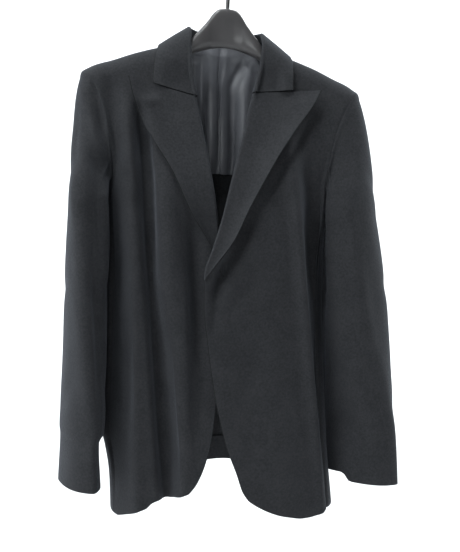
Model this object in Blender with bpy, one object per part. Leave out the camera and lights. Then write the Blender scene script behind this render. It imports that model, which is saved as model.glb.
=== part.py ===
"""A man's single-breasted jacket with peak lapels, hanging open on a broad moulded hanger.

Left and right are the wearer's, so left is +X, and the front faces -Y. Sizes are millimetres in
the hanger's own frame, whose origin is the place inside the hook that bears on a rail. hang()
tilts the hanger, lets the cloth fall straight down from it, and turns millimetres into metres.
Every panel is a wall of cloth through a grid of points, and a grid comes from the short tables
of sections, edges and folds below.
"""

from collections import namedtuple
from math import cos, pi, radians, sin, tan

import bmesh
import bpy
import numpy as np
from mathutils.kdtree import KDTree

MM = 0.001
LEFT, RIGHT = 1, -1
SIDE_NAMES = {LEFT: "left", RIGHT: "right"}

# Cloth
WOOL_WALL = 1.8
LAPEL_WALL = 2.0
LINING_WALL = 1.0
SEAM_HALF_GAP = 0.2
SLEEVE_HALF_GAP = 0.5
SIDE_HALF_GAP = 0.5
ARMHOLE_HALF_GAP = 0.45
UNDERARM_GAP = 1.6

# How it hangs
TILT = radians(3.3)
SHOULDER_TIP = (207, -174)
NECK_POINT = (74, -126)
CENTRE_NECK_Z = -137
UNDERARM_Z = -322
UNDERARM_DIP = 12
UNDERARM_BLEND = 40
SHOULDER_SEAM_Y = 4
FRONT_ROLL = 25
BACK_ROLL = 30

# Rows of a front or a back below and above the underarm, as a share of all its rows
ARM_SHARE = 0.62
TOP_CROWDING = 1.6
SECTION_POWER = 3.0
SEAM_REACH = {LEFT: 0.9, RIGHT: 0.97}
SIDE_BULGE_POWER, SIDE_BULGE_FULLNESS = 2.6, 1.3

# Body sections: half width on each side, and depth in front of and behind the hanger's middle
Level = namedtuple("Level", "z left right front back")
LEVELS = (
    Level(-840, 169, 176, 84, 62),
    Level(-800, 166, 176.6, 83.6, 61.4),
    Level(-765, 163.2, 178, 83, 60),
    Level(-735, 161, 181.8, 82.3, 58.6),
    Level(-705, 159, 186.4, 81.4, 57),
    Level(-620, 157.6, 184, 80, 53),
    Level(-550, 157, 182, 79, 50),
    Level(-490, 157.4, 180.5, 79.6, 48.6),
    Level(-430, 158, 178, 80, 48),
    Level(-380, 160, 176, 77, 50.5),
    Level(-330, 163, 174, 71, 55),
    Level(-280, 190, 196, 58, 52),
    Level(-230, 235, 238, 44, 45),
    Level(-190, 300, 300, 32, 39),
    Level(-160, 320, 320, 24, 36),
    Level(-120, 320, 320, 15, 33),
)

# Inner edge of each front: the corner of the hem, the closing edge, the roll line and the gorge
Edge = namedtuple("Edge", "z left right")
FRONT_EDGES = (
    Edge(-785, 26, -64),
    Edge(-772, 17, -53.2),
    Edge(-748, 8.5, -42),
    Edge(-705, -8, -30.2),
    Edge(-639, -24, -20),
    Edge(-560, -35, -13),
    Edge(-502, -40, -10),
    Edge(-460, -38, -11),
    Edge(-416, -24, -18),
    Edge(-367, -8, -23),
    Edge(-308, 9, -32),
    Edge(-251, 27, -41),
    Edge(-212, 37, -48),
    Edge(-190, 45, -52),
    Edge(-150, 64, -65),
    Edge(-126, 74, -74),
)

# Armhole: how far out the seam lies on the front and on the back
Armhole = namedtuple("Armhole", "z front back")
ARMHOLES = {
    LEFT: (
        Armhole(-322, 147, 147),
        Armhole(-280, 155, 164),
        Armhole(-244, 165, 176),
        Armhole(-207, 181, 190),
        Armhole(-190, 191, 198),
        Armhole(-174, 207, 207),
    ),
    RIGHT: (
        Armhole(-322, 166, 166),
        Armhole(-280, 170, 174),
        Armhole(-244, 175, 182),
        Armhole(-207, 185, 191),
        Armhole(-190, 193, 198),
        Armhole(-174, 207, 207),
    ),
}

# Shoulder seam, from the neck to the tip
Shoulder = namedtuple("Shoulder", "x z")
SHOULDERS = (
    Shoulder(74, -126),
    Shoulder(98, -131.5),
    Shoulder(132, -142.5),
    Shoulder(166, -156),
    Shoulder(190, -164.5),
    Shoulder(207, -174),
)

# Hem of each front, by the distance from the middle
Hem = namedtuple("Hem", "x z")
LEFT_HEM = (
    Hem(26, -793),
    Hem(36, -799.5),
    Hem(54, -808.5),
    Hem(74, -815.5),
    Hem(93, -819.3),
    Hem(107, -821.5),
    Hem(121, -821),
    Hem(141, -815),
    Hem(150, -809),
)
RIGHT_HEM = (
    Hem(64, -780.5),
    Hem(71, -783.3),
    Hem(80, -787.5),
    Hem(86, -791.3),
    Hem(92, -794.8),
    Hem(104, -794.6),
    Hem(110, -795.2),
    Hem(117, -798.4),
    Hem(125, -806),
    Hem(134, -809.2),
    Hem(150, -817.2),
    Hem(167, -827),
)
SIDE_HEM_RISE = {LEFT: 6, RIGHT: 3}
CENTRE_BACK_HEM_Z = -771
BACK_HEM_BOW = 10
HEM_FADE = 0.3

# The crest of the left front and the trough of the right one, which a column of the grid follows
Guide = namedtuple("Guide", "z left right")
GUIDES = (
    Guide(-810, 142, -92),
    Guide(-752, 138, -95.5),
    Guide(-672, 130, -100),
    Guide(-590, 122, -105),
    Guide(-453, 109, -113),
    Guide(-379, 102, -117.5),
    Guide(-313, 98, -121),
    Guide(-242, 115, -125.5),
    Guide(-178, 162.7, -140.5),
    Guide(-160, 162.7, -140.5),
)
GUIDE_COLUMN = {LEFT: 12, RIGHT: 9}

# Long folds of the fronts: a ridge rises and a trough sinks along a line down the cloth
Fold = namedtuple("Fold", "side top_x top_z foot_x foot_z width rise fade")
FRONT_FOLDS = (
    Fold(RIGHT, -126, -235, -91, -830, 10, -24, 50),
    Fold(RIGHT, -146, -250, -139, -840, 14, 9, 70),
    Fold(RIGHT, -180, -340, -180, -700, 13, -22, 90),
    Fold(RIGHT, -98, -330, -66, -840, 18, 6, 90),
    Fold(LEFT, 93, -290, 144, -800, 12, 12, 110),
    Fold(LEFT, 125, -340, 158, -700, 16, -34, 90),
)
BACK_FOLDS = (
    Fold(RIGHT, -112, -260, -120, -840, 18, -7, 100),
    Fold(RIGHT, -70, -330, -58, -840, 22, 5, 120),
    Fold(LEFT, 108, -260, 118, -840, 18, -7, 100),
    Fold(LEFT, 64, -360, 70, -840, 24, 5, 120),
)

# Where the fronts lap, the left one stands out and the right one sinks in
LAP_TOP_Z, LAP_FOOT_Z, LAP_FADE = -400, -650, 70
LEFT_LAP_RISE, LEFT_LAP_FROM, LEFT_LAP_OVER = 8, 40, 60
RIGHT_LAP_SINK, RIGHT_LAP_FROM, RIGHT_LAP_OVER = 9, -95, 65

# Lapels: the outer edge of each against the height of its roll line, and how far it stands off
Lapel = namedtuple("Lapel", "roll_z edge_x edge_z lift")
LAPELS = {
    LEFT: (
        Lapel(-191, 140, -181, 13),
        Lapel(-222, 124, -207, 12),
        Lapel(-265, 91, -252, 9),
        Lapel(-330, 58.5, -301, 8),
        Lapel(-390, 26, -358, 7),
        Lapel(-432, 1, -408, 7),
        Lapel(-464, -28, -447, 5),
    ),
    RIGHT: (
        Lapel(-203, -142, -183, 15),
        Lapel(-222, -135, -213, 10),
        Lapel(-265, -117, -257, 4),
        Lapel(-330, -84, -313, 3),
        Lapel(-390, -57, -372, 3),
        Lapel(-432, -31, -414, 2),
        Lapel(-460, -20, -449, 1),
    ),
}
LAPEL_LEAF_STEPS = (0.1, 0.28, 0.48, 0.68, 0.85, 1.0)
ROLL_RADIUS = 4.2
ROLL_TURNS = (-90, -135, -180, -225, -270)
RETURN_REACH = 12

# Collar, from the centre back (turn 0) to the gorge (turn 1): neck seam, fold and free edge
Collar = namedtuple("Collar", "turn seam_x seam_y seam_z fold_x fold_y fold_z edge_x edge_y edge_z")
COLLARS = (
    Collar(0.00, 0, 38, -133, 0, 45, -101, 0, 56, -147),
    Collar(0.30, 34, 35, -131, 29, 42, -97, 46, 52, -145),
    Collar(0.50, 60, 20, -127, 48, 26, -95.5, 80, 35, -137),
    Collar(0.64, 68, 5, -123, 53, 8, -97, 98, 4, -127),
    Collar(0.78, 62, -9, -132, 53, -16, -114, 103, -21, -143),
    Collar(0.90, 53, -15, -160, 49, -28, -150, 104, -33, -165),
    Collar(1.00, 39, -21, -190, 41, -36, -190, 104, -38, -183.4),
)
COLLAR_END_OUT = {LEFT: {"seam": 0, "fold": 0, "edge": -6}, RIGHT: {"seam": 3, "fold": 3, "edge": 3}}
COLLAR_END_FROM = {LEFT: 0.55, RIGHT: 0.7}
COLLAR_END_DROP = {LEFT: {"seam": 0, "fold": 0, "edge": 0}, RIGHT: {"seam": 12, "fold": 12, "edge": 6}}
COLLAR_STAND_STEPS = (0.0, 0.5)
COLLAR_FOLD_TURNS = (180, 135, 90, 45, 0)
COLLAR_LEAF_STEPS = (0.25, 0.5, 0.75, 1.0)
COLLAR_ROLL_RADIUS = 3.2
COLLAR_BOW = 2.0

# Sleeve rings: the middle, half the short way across, half the long way, how far the front edge is
# turned outwards in degrees, and how far a second fold stands out beside the body
Ring = namedtuple("Ring", "z x y width depth turn fold")
SLEEVES = {
    LEFT: (
        Ring(-362, 195, -8, 41, 66, -18, 12),
        Ring(-430, 197.8, -10, 48, 64, -8, 10),
        Ring(-510, 200.5, -13, 53, 62, 5, 7),
        Ring(-594, 205.6, -18, 49.7, 61, 25, 5),
        Ring(-650, 209.6, -23, 45, 60, 36, 4),
        Ring(-690, 211.3, -27, 37.8, 59, 45, 2),
        Ring(-770, 213, -34, 31, 56, 58, 0),
    ),
    RIGHT: (
        Ring(-362, 200.8, -8, 25.8, 68, 13, 20),
        Ring(-430, 205.2, -10, 29.2, 66, 6, 15.5),
        Ring(-510, 208.5, -13, 31.5, 64, 0, 7.5),
        Ring(-594, 212.2, -18, 30.2, 60, -11, 3.5),
        Ring(-700, 217.5, -27, 27, 56, -22, 2),
        Ring(-713, 220.2, -29, 22.3, 55, -22, 1),
        Ring(-780, 221.2, -34, 25.8, 52, -25, 0),
    ),
}
SLEEVE_FOLD_TURN, SLEEVE_FOLD_WIDTH = 0.37, 0.07
SLEEVE_CLEARANCE = {LEFT: 1.5, RIGHT: 3.5}
CUFF_STEP_TURN, CUFF_STEP_WIDTH, CUFF_STEP_END = 0.55, 0.03, 0.9
CUFF_STEP_RISE = {LEFT: 12, RIGHT: 0}
CUFF_STEP_FROM = 0.75
SLEEVE_SPLIT_ROW = 3
CAP_SHARE = 0.3
CAP_LEAVE_TOP = np.array([0.3, 0, -0.55])
CAP_LEAVE_LOW = np.array([0.15, 0, -0.9])
CAP_ARRIVE = {LEFT: np.array([0.06, 0, -1.0]), RIGHT: np.array([0.05, 0, -1.0])}
CAP_LOW_SHARE = 0.2
FRONT_SEAM_TURN = 0.38
BACK_SEAM_TURN = 0.62
SLEEVE_FRONT_SEAM = FRONT_SEAM_TURN * 7 / 8
SLEEVE_BACK_SEAM = BACK_SEAM_TURN + (1 - BACK_SEAM_TURN) * 2 / 8
FRONT_PINCH = 0.35

# Half lining of the back and the turned-up hem
LINING_FOOT_Z = -309
LINING_SIDE_FOOT_Z = -332
LINING_TOP_Z = -143
LINING_HALF_WIDTH = 118
LINING_STAND = 6
LINING_CLEARANCE = 1.5
LINING_SEAM_SHARE = 0.08
LININGS = (
    Fold(RIGHT, -12, -130, -8, -330, 7, 6, 30),
    Fold(RIGHT, -34, -130, -30, -330, 9, -3, 30),
    Fold(LEFT, 12, -130, 9, -330, 7, 5, 30),
    Fold(LEFT, 27, -170, 22, -330, 6, -4, 30),
    Fold(LEFT, 42, -150, 38, -330, 9, 5, 40),
)
TURN_UP_HEIGHT = 39
TURN_UP_SHARE = 0.9
TURN_UP_CLEARANCE = 0.6

# Hanger arm by distance from the middle: upper and lower edge, middle and half of its thickness
Arm = namedtuple("Arm", "x top foot y half")
ARMS = (
    Arm(0, -67, -125, 0, 8),
    Arm(8, -69, -125.5, 0, 8),
    Arm(21, -77, -127.5, 0, 9),
    Arm(29, -88, -130, -1, 10),
    Arm(41, -103, -134, -2, 11),
    Arm(52, -117, -139, -3, 10),
    Arm(61, -137, -150, -1, 9),
    Arm(78, -146, -163, 0, 11),
    Arm(110, -152, -174, 0, 13),
    Arm(150, -166, -190, 1, 13),
    Arm(180, -178, -203, 1, 12),
    Arm(187, -184, -199, 1, 8),
)
ARM_POWER = 2.6
HOOK_RADIUS = 3
HOOK_BOW = 22
HOOK_STEM_FOOT = -66.7
HOOK_STEM_TOP = -50
HOOK_TIP_TURN = 205

# Grid steps
FRONT_COLUMNS, FRONT_ROWS_BELOW, FRONT_ROWS_ABOVE = 18, 15, 8
FRONT_SPLIT_ROW = 13
BACK_COLUMNS, BACK_ROWS_BELOW = 11, 11
SIDE_COLUMNS = 5
SLEEVE_ROWS_BELOW, SLEEVE_CAP_ROWS = 11, 5
LAPEL_ROWS = 15
COLLAR_ROWS = 23
LINING_COLUMNS, LINING_ROWS = 10, 8
RING_STEPS = 14

# Seams: points this near meet there, and the cloth runs on where it bends by less than this
MEETING_RADIUS = 0.01
RUNS_ON_COSINE = -0.3

WOOL = ("wool", (0.020, 0.021, 0.024, 1), 0.8, 0.0)
SATIN = ("satin", (0.120, 0.123, 0.140, 1), 0.35, 0.0)
PLASTIC = ("plastic", (0.030, 0.030, 0.030, 1), 0.4, 0.0)
STEEL = ("steel", (0.120, 0.120, 0.120, 1), 0.35, 1.0)
Panel = namedtuple("Panel", "name grid seams out thickness finish", defaults=(WOOL_WALL, WOOL))


def ease(t):
    """0 below 0, 1 above 1, and a smooth rise between."""
    t = np.clip(t, 0, 1)
    return t * t * (3 - 2 * t)


def along(table, key, column, at):
    """A column of a table at any value of its key, on a smooth curve through the rows."""
    keys = np.array([getattr(row, key) for row in table], float)
    values = np.array([getattr(row, column) for row in table], float)
    if keys[0] > keys[-1]:
        keys, values = keys[::-1], values[::-1]
    steps = np.diff(values) / np.diff(keys)
    slopes = np.zeros(len(keys))
    slopes[0], slopes[-1] = steps[0], steps[-1]
    same_way = steps[:-1] * steps[1:] > 0
    inner = 2 * steps[:-1] * steps[1:] / np.where(same_way, steps[:-1] + steps[1:], 1)
    slopes[1:-1] = np.where(same_way, inner, 0)
    at = np.clip(np.asarray(at, float), keys[0], keys[-1])
    cell = np.clip(np.searchsorted(keys, at, side="right") - 1, 0, len(keys) - 2)
    span = keys[cell + 1] - keys[cell]
    t = (at - keys[cell]) / span
    return (
        values[cell] * (1 + 2 * t) * (1 - t) ** 2
        + slopes[cell] * span * t * (1 - t) ** 2
        + values[cell + 1] * t * t * (3 - 2 * t)
        + slopes[cell + 1] * span * t * t * (t - 1)
    )


def hang(points):
    """Tilts the hanger about its hook, drops the cloth straight from it, and gives metres."""
    points = np.array(points, float)
    lean = tan(TILT)
    x = points[..., 0] + lean * np.maximum(points[..., 2], SHOULDER_TIP[1])
    z = points[..., 2] - lean * points[..., 0]
    return np.stack([x, points[..., 1], z], axis=-1) * MM


def half_width(side, z):
    return along(LEVELS, "z", SIDE_NAMES[side], z)


def shoulder_z(x):
    """Height of the shoulder line, carried on up to the middle inside the neck."""
    x = np.abs(x)
    slope = (SHOULDERS[1].z - SHOULDERS[0].z) / (SHOULDERS[1].x - SHOULDERS[0].x)
    inside = SHOULDERS[0].z + slope * (x - SHOULDERS[0].x)
    return np.where(x < SHOULDERS[0].x, inside, along(SHOULDERS, "x", "z", x))


def roll(drop, radius):
    """How much of its depth the cloth has this far below the shoulder line."""
    return np.sqrt(np.clip(1 - (1 - np.clip(drop / radius, 0, 1)) ** 2, 0, 1))


def crown(side, x, z):
    """How much of the full depth a body section keeps at this distance from its middle."""
    share = np.clip(np.abs(x) / half_width(side, z), 0, 1)
    return (1 - share**SECTION_POWER) ** (1 / SECTION_POWER)


def body_reach(side, y, z):
    """How far out the body's section reaches at this place from front to back."""
    column = np.where(y < SHOULDER_SEAM_Y, along(LEVELS, "z", "front", z), along(LEVELS, "z", "back", z))
    share = np.clip(np.abs(y - SHOULDER_SEAM_Y) / column, 0, 1)
    return half_width(side, z) * (1 - share**SECTION_POWER) ** (1 / SECTION_POWER)


def fold_rise(folds, side, x, z):
    rise = np.zeros(np.broadcast(x, z).shape)
    for fold in folds:
        if fold.side != side:
            continue
        share = (z - fold.top_z) / (fold.foot_z - fold.top_z)
        middle = fold.top_x + (fold.foot_x - fold.top_x) * share
        reach = ease((fold.top_z + fold.fade - z) / (2 * fold.fade))
        reach = reach * ease((z - fold.foot_z + fold.fade) / (2 * fold.fade) + 0.5)
        rise = rise + fold.rise * reach * np.exp(-(((x - middle) / fold.width) ** 2))
    return rise


def lap_rise(side, x, z):
    reach = ease((LAP_TOP_Z + LAP_FADE - z) / LAP_FADE) * ease((z - LAP_FOOT_Z + LAP_FADE) / LAP_FADE)
    if side == LEFT:
        return LEFT_LAP_RISE * reach * ease((LEFT_LAP_FROM - x) / LEFT_LAP_OVER)
    return -RIGHT_LAP_SINK * reach * ease((x - RIGHT_LAP_FROM) / RIGHT_LAP_OVER)


def front_y(side, x, z):
    """Outer face of a front."""
    depth = along(LEVELS, "z", "front", z) * crown(side, x, z)
    out = depth + fold_rise(FRONT_FOLDS, side, x, z) + lap_rise(side, x, z)
    return SHOULDER_SEAM_Y - out * roll(shoulder_z(x) - z, FRONT_ROLL)


def back_y(side, x, z):
    """Outer face of a back."""
    depth = along(LEVELS, "z", "back", z) * crown(side, x, z)
    out = depth + fold_rise(BACK_FOLDS, side, x, z)
    return SHOULDER_SEAM_Y + out * roll(shoulder_z(x) - z, BACK_ROLL)


def armhole_point(side, turn):
    """Point of the armhole seam: turn 0 and 1 at the shoulder tip, 0.5 under the arm."""
    turn = np.asarray(turn, float)
    drop = SHOULDER_TIP[1] - UNDERARM_Z
    front_share = np.clip(turn / FRONT_SEAM_TURN, 0, 1) ** TOP_CROWDING
    back_share = np.clip((1 - turn) / (1 - BACK_SEAM_TURN), 0, 1) ** TOP_CROWDING
    front_z = SHOULDER_TIP[1] - drop * front_share
    back_z = SHOULDER_TIP[1] - drop * back_share
    front_x = along(ARMHOLES[side], "z", "front", front_z)
    back_x = along(ARMHOLES[side], "z", "back", back_z)
    front = np.stack([side * front_x, front_y(side, side * front_x, front_z), front_z], axis=-1)
    back = np.stack([side * back_x, back_y(side, side * back_x, back_z), back_z], axis=-1)
    across = np.clip((turn - FRONT_SEAM_TURN) / (BACK_SEAM_TURN - FRONT_SEAM_TURN), 0, 1)
    under = side_point(side, across, np.ones_like(across))
    in_front = (turn <= FRONT_SEAM_TURN)[..., None]
    behind = (turn >= BACK_SEAM_TURN)[..., None]
    return np.where(in_front, front, np.where(behind, back, under))


def side_edges(side, z):
    """The front and back seams of the side panel at a height: x, front y and back y."""
    x = side * SEAM_REACH[side] * half_width(side, z)
    at_arm = np.clip((z - UNDERARM_Z + UNDERARM_BLEND) / UNDERARM_BLEND, 0, 1)
    x = x + (side * ARMHOLES[side][0].front - x) * ease(at_arm)
    return x, front_y(side, x, z), back_y(side, x, z)


def side_hem_z(side):
    return (LEFT_HEM if side == LEFT else RIGHT_HEM)[-1].z


def side_point(side, across, up):
    """Side panel: across from the front seam to the back seam, up from the hem to the armhole."""
    hem = side_hem_z(side) + SIDE_HEM_RISE[side] * across
    top = UNDERARM_Z - UNDERARM_DIP * np.sin(pi * across)
    z = hem + (top - hem) * up
    seam_x, seam_front, seam_back = side_edges(side, z)
    y = seam_front + (seam_back - seam_front) * across
    width = half_width(side, z) - np.abs(seam_x)
    bulge = (1 - np.abs(2 * across - 1) ** SIDE_BULGE_POWER) ** (1 / SIDE_BULGE_FULLNESS)
    return np.stack([seam_x + side * width * bulge, y, z + 0 * y], axis=-1)


def front_outer(side, up):
    """Outer edge of a front: the side seam, then the armhole up to the shoulder tip."""
    below = np.clip(up / ARM_SHARE, 0, 1)
    hem = side_hem_z(side)
    z = hem + (UNDERARM_Z - hem) * below
    x = side_edges(side, z)[0]
    turn = FRONT_SEAM_TURN * (1 - np.clip((up - ARM_SHARE) / (1 - ARM_SHARE), 0, 1))
    seam = armhole_point(side, turn)
    above = up > ARM_SHARE
    return np.where(above, seam[..., 0], x), np.where(above, seam[..., 2], z)


def front_point(side, across, up):
    """Front: across from its inner edge to its outer edge, up from the hem to the shoulder."""
    hem_table = LEFT_HEM if side == LEFT else RIGHT_HEM
    corner, neck = FRONT_EDGES[0].z, FRONT_EDGES[-1].z
    z_in = np.where(
        up < ARM_SHARE,
        corner + (UNDERARM_Z - corner) * up / ARM_SHARE,
        UNDERARM_Z + (neck - UNDERARM_Z) * upper_share(up),
    )
    x_in = along(FRONT_EDGES, "z", SIDE_NAMES[side], z_in)
    x_out, z_out = front_outer(side, up)
    z = z_in + (z_out - z_in) * across
    share = GUIDE_COLUMN[side] / FRONT_COLUMNS
    x_guide = along(GUIDES, "z", SIDE_NAMES[side], z)
    within, beyond = across / share, (across - share) / (1 - share)
    x = np.where(across < share, x_in + (x_guide - x_in) * within, x_guide + (x_out - x_guide) * beyond)
    hem_flat = corner + (hem_table[-1].z - corner) * across
    z = z + (along(hem_table, "x", "z", side * x) - hem_flat) * np.clip(1 - up / HEM_FADE, 0, 1) ** 2
    top_x = NECK_POINT[0] + (SHOULDER_TIP[0] - NECK_POINT[0]) * across
    top_flat = NECK_POINT[1] + (SHOULDER_TIP[1] - NECK_POINT[1]) * across
    z = z + (shoulder_z(top_x) - top_flat) * upper_share(up) ** 2
    return np.stack([x, front_y(side, x, z), z], axis=-1)


def back_point(side, across, up):
    """Back: across from the centre seam to the side seam, up from the hem to the neck."""
    above = np.clip((up - ARM_SHARE) / (1 - ARM_SHARE), 0, 1)
    below = np.clip(up / ARM_SHARE, 0, 1)
    hem = side_hem_z(side) + SIDE_HEM_RISE[side]
    z_side = hem + (UNDERARM_Z - hem) * below
    seam = armhole_point(side, 1 - (1 - BACK_SEAM_TURN) * (1 - above))
    x_out = np.where(up > ARM_SHARE, seam[..., 0], side_edges(side, z_side)[0])
    z_out = np.where(up > ARM_SHARE, seam[..., 2], z_side)
    z_middle = np.where(
        up < ARM_SHARE,
        CENTRE_BACK_HEM_Z + (UNDERARM_Z - CENTRE_BACK_HEM_Z) * below,
        UNDERARM_Z + (CENTRE_NECK_Z - UNDERARM_Z) * upper_share(up),
    )
    x = x_out * across
    z = z_middle + (z_out - z_middle) * across
    z = z - BACK_HEM_BOW * (across - across**2) * (across - 1) * 4 * np.clip(1 - up / HEM_FADE, 0, 1) ** 2
    top_x = SHOULDER_TIP[0] * across
    neck_z = CENTRE_NECK_Z + (NECK_POINT[1] - CENTRE_NECK_Z) * ease(top_x / NECK_POINT[0])
    top_z = np.where(top_x < NECK_POINT[0], neck_z, shoulder_z(top_x))
    top_flat = CENTRE_NECK_Z + (SHOULDER_TIP[1] - CENTRE_NECK_Z) * across
    z = z + (top_z - top_flat) * upper_share(up) ** 2
    return np.stack([x, back_y(side, x, z), z], axis=-1)


def ring_point(side, turn, z):
    """Point of the sleeve below the cap. Turn 0 is the outer side, 0.25 the front edge."""
    rings = SLEEVES[side]
    angle = 2 * pi * turn
    width = along(rings, "z", "width", z)
    depth = along(rings, "z", "depth", z)
    swing = np.radians(along(rings, "z", "turn", z))
    pinch = 1 - FRONT_PINCH * np.clip(np.sin(angle), 0, 1) ** 4
    fold = along(rings, "z", "fold", z) * np.exp(-(((turn - SLEEVE_FOLD_TURN) / SLEEVE_FOLD_WIDTH) ** 2))
    out = width * np.cos(angle) * pinch - fold
    ahead = depth * np.sin(angle)
    x = along(rings, "z", "x", z) + out * np.cos(swing) + ahead * np.sin(swing)
    y = along(rings, "z", "y", z) + out * np.sin(swing) - ahead * np.cos(swing)
    x = np.maximum(x, body_reach(side, y, z) + SLEEVE_CLEARANCE[side])
    return np.stack([side * x, y, z + 0 * y], axis=-1)


def sleeve_point(side, turn, down):
    """Sleeve: turn round it from the shoulder tip forwards, down from the armhole to the hem."""
    turn = np.asarray(turn, float) % 1
    top, foot = SLEEVES[side][0].z, SLEEVES[side][-1].z
    start = armhole_point(side, turn)
    end = ring_point(side, turn, np.full(turn.shape, float(top)))
    reach = np.linalg.norm(end - start, axis=-1, keepdims=True)
    low = ease((0.5 - np.abs(turn - 0.5)) / CAP_LOW_SHARE)[..., None]
    leave = reach * (CAP_LEAVE_TOP + (CAP_LEAVE_LOW - CAP_LEAVE_TOP) * low) * (side, 1, 1)
    arrive = reach * CAP_ARRIVE[side] * (side, 1, 1)
    t = np.clip(down / CAP_SHARE, 0, 1)[..., None]
    cap = (
        start * (1 + 2 * t) * (1 - t) ** 2
        + leave * t * (1 - t) ** 2
        + end * t * t * (3 - 2 * t)
        + arrive * t * t * (t - 1)
    )
    below = np.clip((down - CAP_SHARE) / (1 - CAP_SHARE), 0, 1)
    step = ease((turn - CUFF_STEP_TURN) / CUFF_STEP_WIDTH + 0.5)
    step = step * ease((CUFF_STEP_END - turn) / (CUFF_STEP_END - CUFF_STEP_TURN))
    foot = foot + CUFF_STEP_RISE[side] * step * np.clip((below - CUFF_STEP_FROM) / (1 - CUFF_STEP_FROM), 0, 1)
    z = top + (foot - top) * below
    return np.where((down <= CAP_SHARE)[..., None], cap, ring_point(side, turn, z))


def inset(grid, seams):
    """Draws the named edges of a grid back by their gaps, so that each seam stays open."""
    grid = grid.copy()
    turned = {"first_row": grid, "last_row": grid[::-1]}
    turned["first_column"] = grid.transpose(1, 0, 2)
    turned["last_column"] = grid[:, ::-1].transpose(1, 0, 2)
    for edge, gap in seams.items():
        rows = turned[edge]
        step = rows[1] - rows[0]
        rows[0] += step / np.linalg.norm(step, axis=-1, keepdims=True) * gap
    return grid


def grid_normals(grid, out):
    """Unit normals of a grid, on the side that the vector out points to at its middle."""
    down, across = np.gradient(grid, axis=0), np.gradient(grid, axis=1)
    normal = np.cross(across, down)
    normal /= np.maximum(np.linalg.norm(normal, axis=-1, keepdims=True), 1e-9)
    middle = normal[grid.shape[0] // 2, grid.shape[1] // 2]
    return normal if np.dot(middle, out) > 0 else -normal


def material(name, colour, roughness, metallic):
    found = bpy.data.materials.get(name)
    if found:
        return found
    made = bpy.data.materials.new(name)
    made.use_nodes = True
    shader = made.node_tree.nodes["Principled BSDF"]
    shader.inputs["Base Color"].default_value = colour
    shader.inputs["Roughness"].default_value = roughness
    shader.inputs["Metallic"].default_value = metallic
    return made


def add_object(name, mesh, finish):
    mesh.materials.append(material(*finish))
    obj = bpy.data.objects.new(name, mesh)
    bpy.context.scene.collection.objects.link(obj)
    return obj


def add_mesh(name, points, faces, finish):
    """A closed body from points in the hanger's frame, with its faces turned outwards."""
    work = bmesh.new()
    verts = [work.verts.new(point) for point in hang(points)]
    for face in faces:
        work.faces.new([verts[i] for i in face])
    bmesh.ops.recalc_face_normals(work, faces=work.faces)
    mesh = bpy.data.meshes.new(name)
    work.to_mesh(mesh)
    work.free()
    mesh.shade_smooth()
    mesh.set_sharp_from_angle(angle=radians(50))
    return add_object(name, mesh, finish)


def add_wall(name, grid, thickness, out, finish=WOOL, normals=None):
    """A wall of cloth whose outer face is the grid, with its edges closed."""
    rows, columns = grid.shape[:2]
    normals = grid_normals(grid, out) if normals is None else normals
    inner = grid - normals * thickness
    points = np.concatenate([grid.reshape(-1, 3), inner.reshape(-1, 3)])
    back = rows * columns

    def at(row, column):
        return row * columns + column

    faces = []
    for row in range(rows - 1):
        for column in range(columns - 1):
            corners = [at(row, column), at(row, column + 1), at(row + 1, column + 1), at(row + 1, column)]
            faces.append(corners)
            faces.append([i + back for i in reversed(corners)])
    rim = [at(0, c) for c in range(columns)] + [at(r, columns - 1) for r in range(1, rows)]
    rim += [at(rows - 1, c) for c in range(columns - 2, -1, -1)] + [at(r, 0) for r in range(rows - 2, 0, -1)]
    for first, second in zip(rim, rim[1:] + rim[:1]):
        faces.append([second, first, first + back, second + back])
    return add_mesh(name, points, faces, finish)


def steps(start, end, count):
    return np.linspace(start, end, count + 1)


def panel_rows(below, above):
    return np.concatenate([steps(0, ARM_SHARE, below), steps(ARM_SHARE, 1, above)[1:]])


def upper_share(up):
    """How far a row lies from the underarm to the shoulder, with rows closer near the shoulder."""
    return 1 - (1 - np.clip((up - ARM_SHARE) / (1 - ARM_SHARE), 0, 1)) ** TOP_CROWDING


def sample(surface, side, across, along_rows):
    """The points of a surface on a grid, rows first."""
    columns, rows = np.meshgrid(across, along_rows)
    return surface(side, columns, rows)


def body_panels(side):
    name = SIDE_NAMES[side]
    ends = {"last_column": ARMHOLE_HALF_GAP, "last_row": ARMHOLE_HALF_GAP}
    rows = panel_rows(FRONT_ROWS_BELOW, FRONT_ROWS_ABOVE)
    front = sample(front_point, side, steps(0, 1, FRONT_COLUMNS), rows)
    back = sample(back_point, side, steps(0, 1, BACK_COLUMNS), rows)
    flank = sample(side_point, side, steps(0, 1, SIDE_COLUMNS), steps(0, 1, FRONT_ROWS_BELOW))
    centre = {"first_column": SEAM_HALF_GAP}
    sides = {"first_column": SIDE_HALF_GAP, "last_column": SIDE_HALF_GAP, "last_row": UNDERARM_GAP}
    above, below = front[FRONT_SPLIT_ROW:], front[: FRONT_SPLIT_ROW + 1]
    low_ends = {"last_column": ARMHOLE_HALF_GAP, "last_row": SEAM_HALF_GAP}
    return [
        Panel("front_" + name, above, centre | ends | {"first_row": SEAM_HALF_GAP}, (0, -1, 0)),
        Panel("front_low_" + name, below, centre | low_ends, (0, -1, 0)),
        Panel("back_" + name, back, centre | ends, (0, 1, 0)),
        Panel("side_" + name, flank, sides, (side, 0, 0)),
    ]


def sleeve_turns():
    """Turns round the armhole that match the rows and columns of the panels it joins."""
    front = FRONT_SEAM_TURN * steps(0, 1, FRONT_ROWS_ABOVE)
    under = steps(FRONT_SEAM_TURN, BACK_SEAM_TURN, SIDE_COLUMNS)[1:-1]
    back = BACK_SEAM_TURN + (1 - BACK_SEAM_TURN) * steps(0, 1, FRONT_ROWS_ABOVE)
    return np.concatenate([front, under, back])


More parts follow.
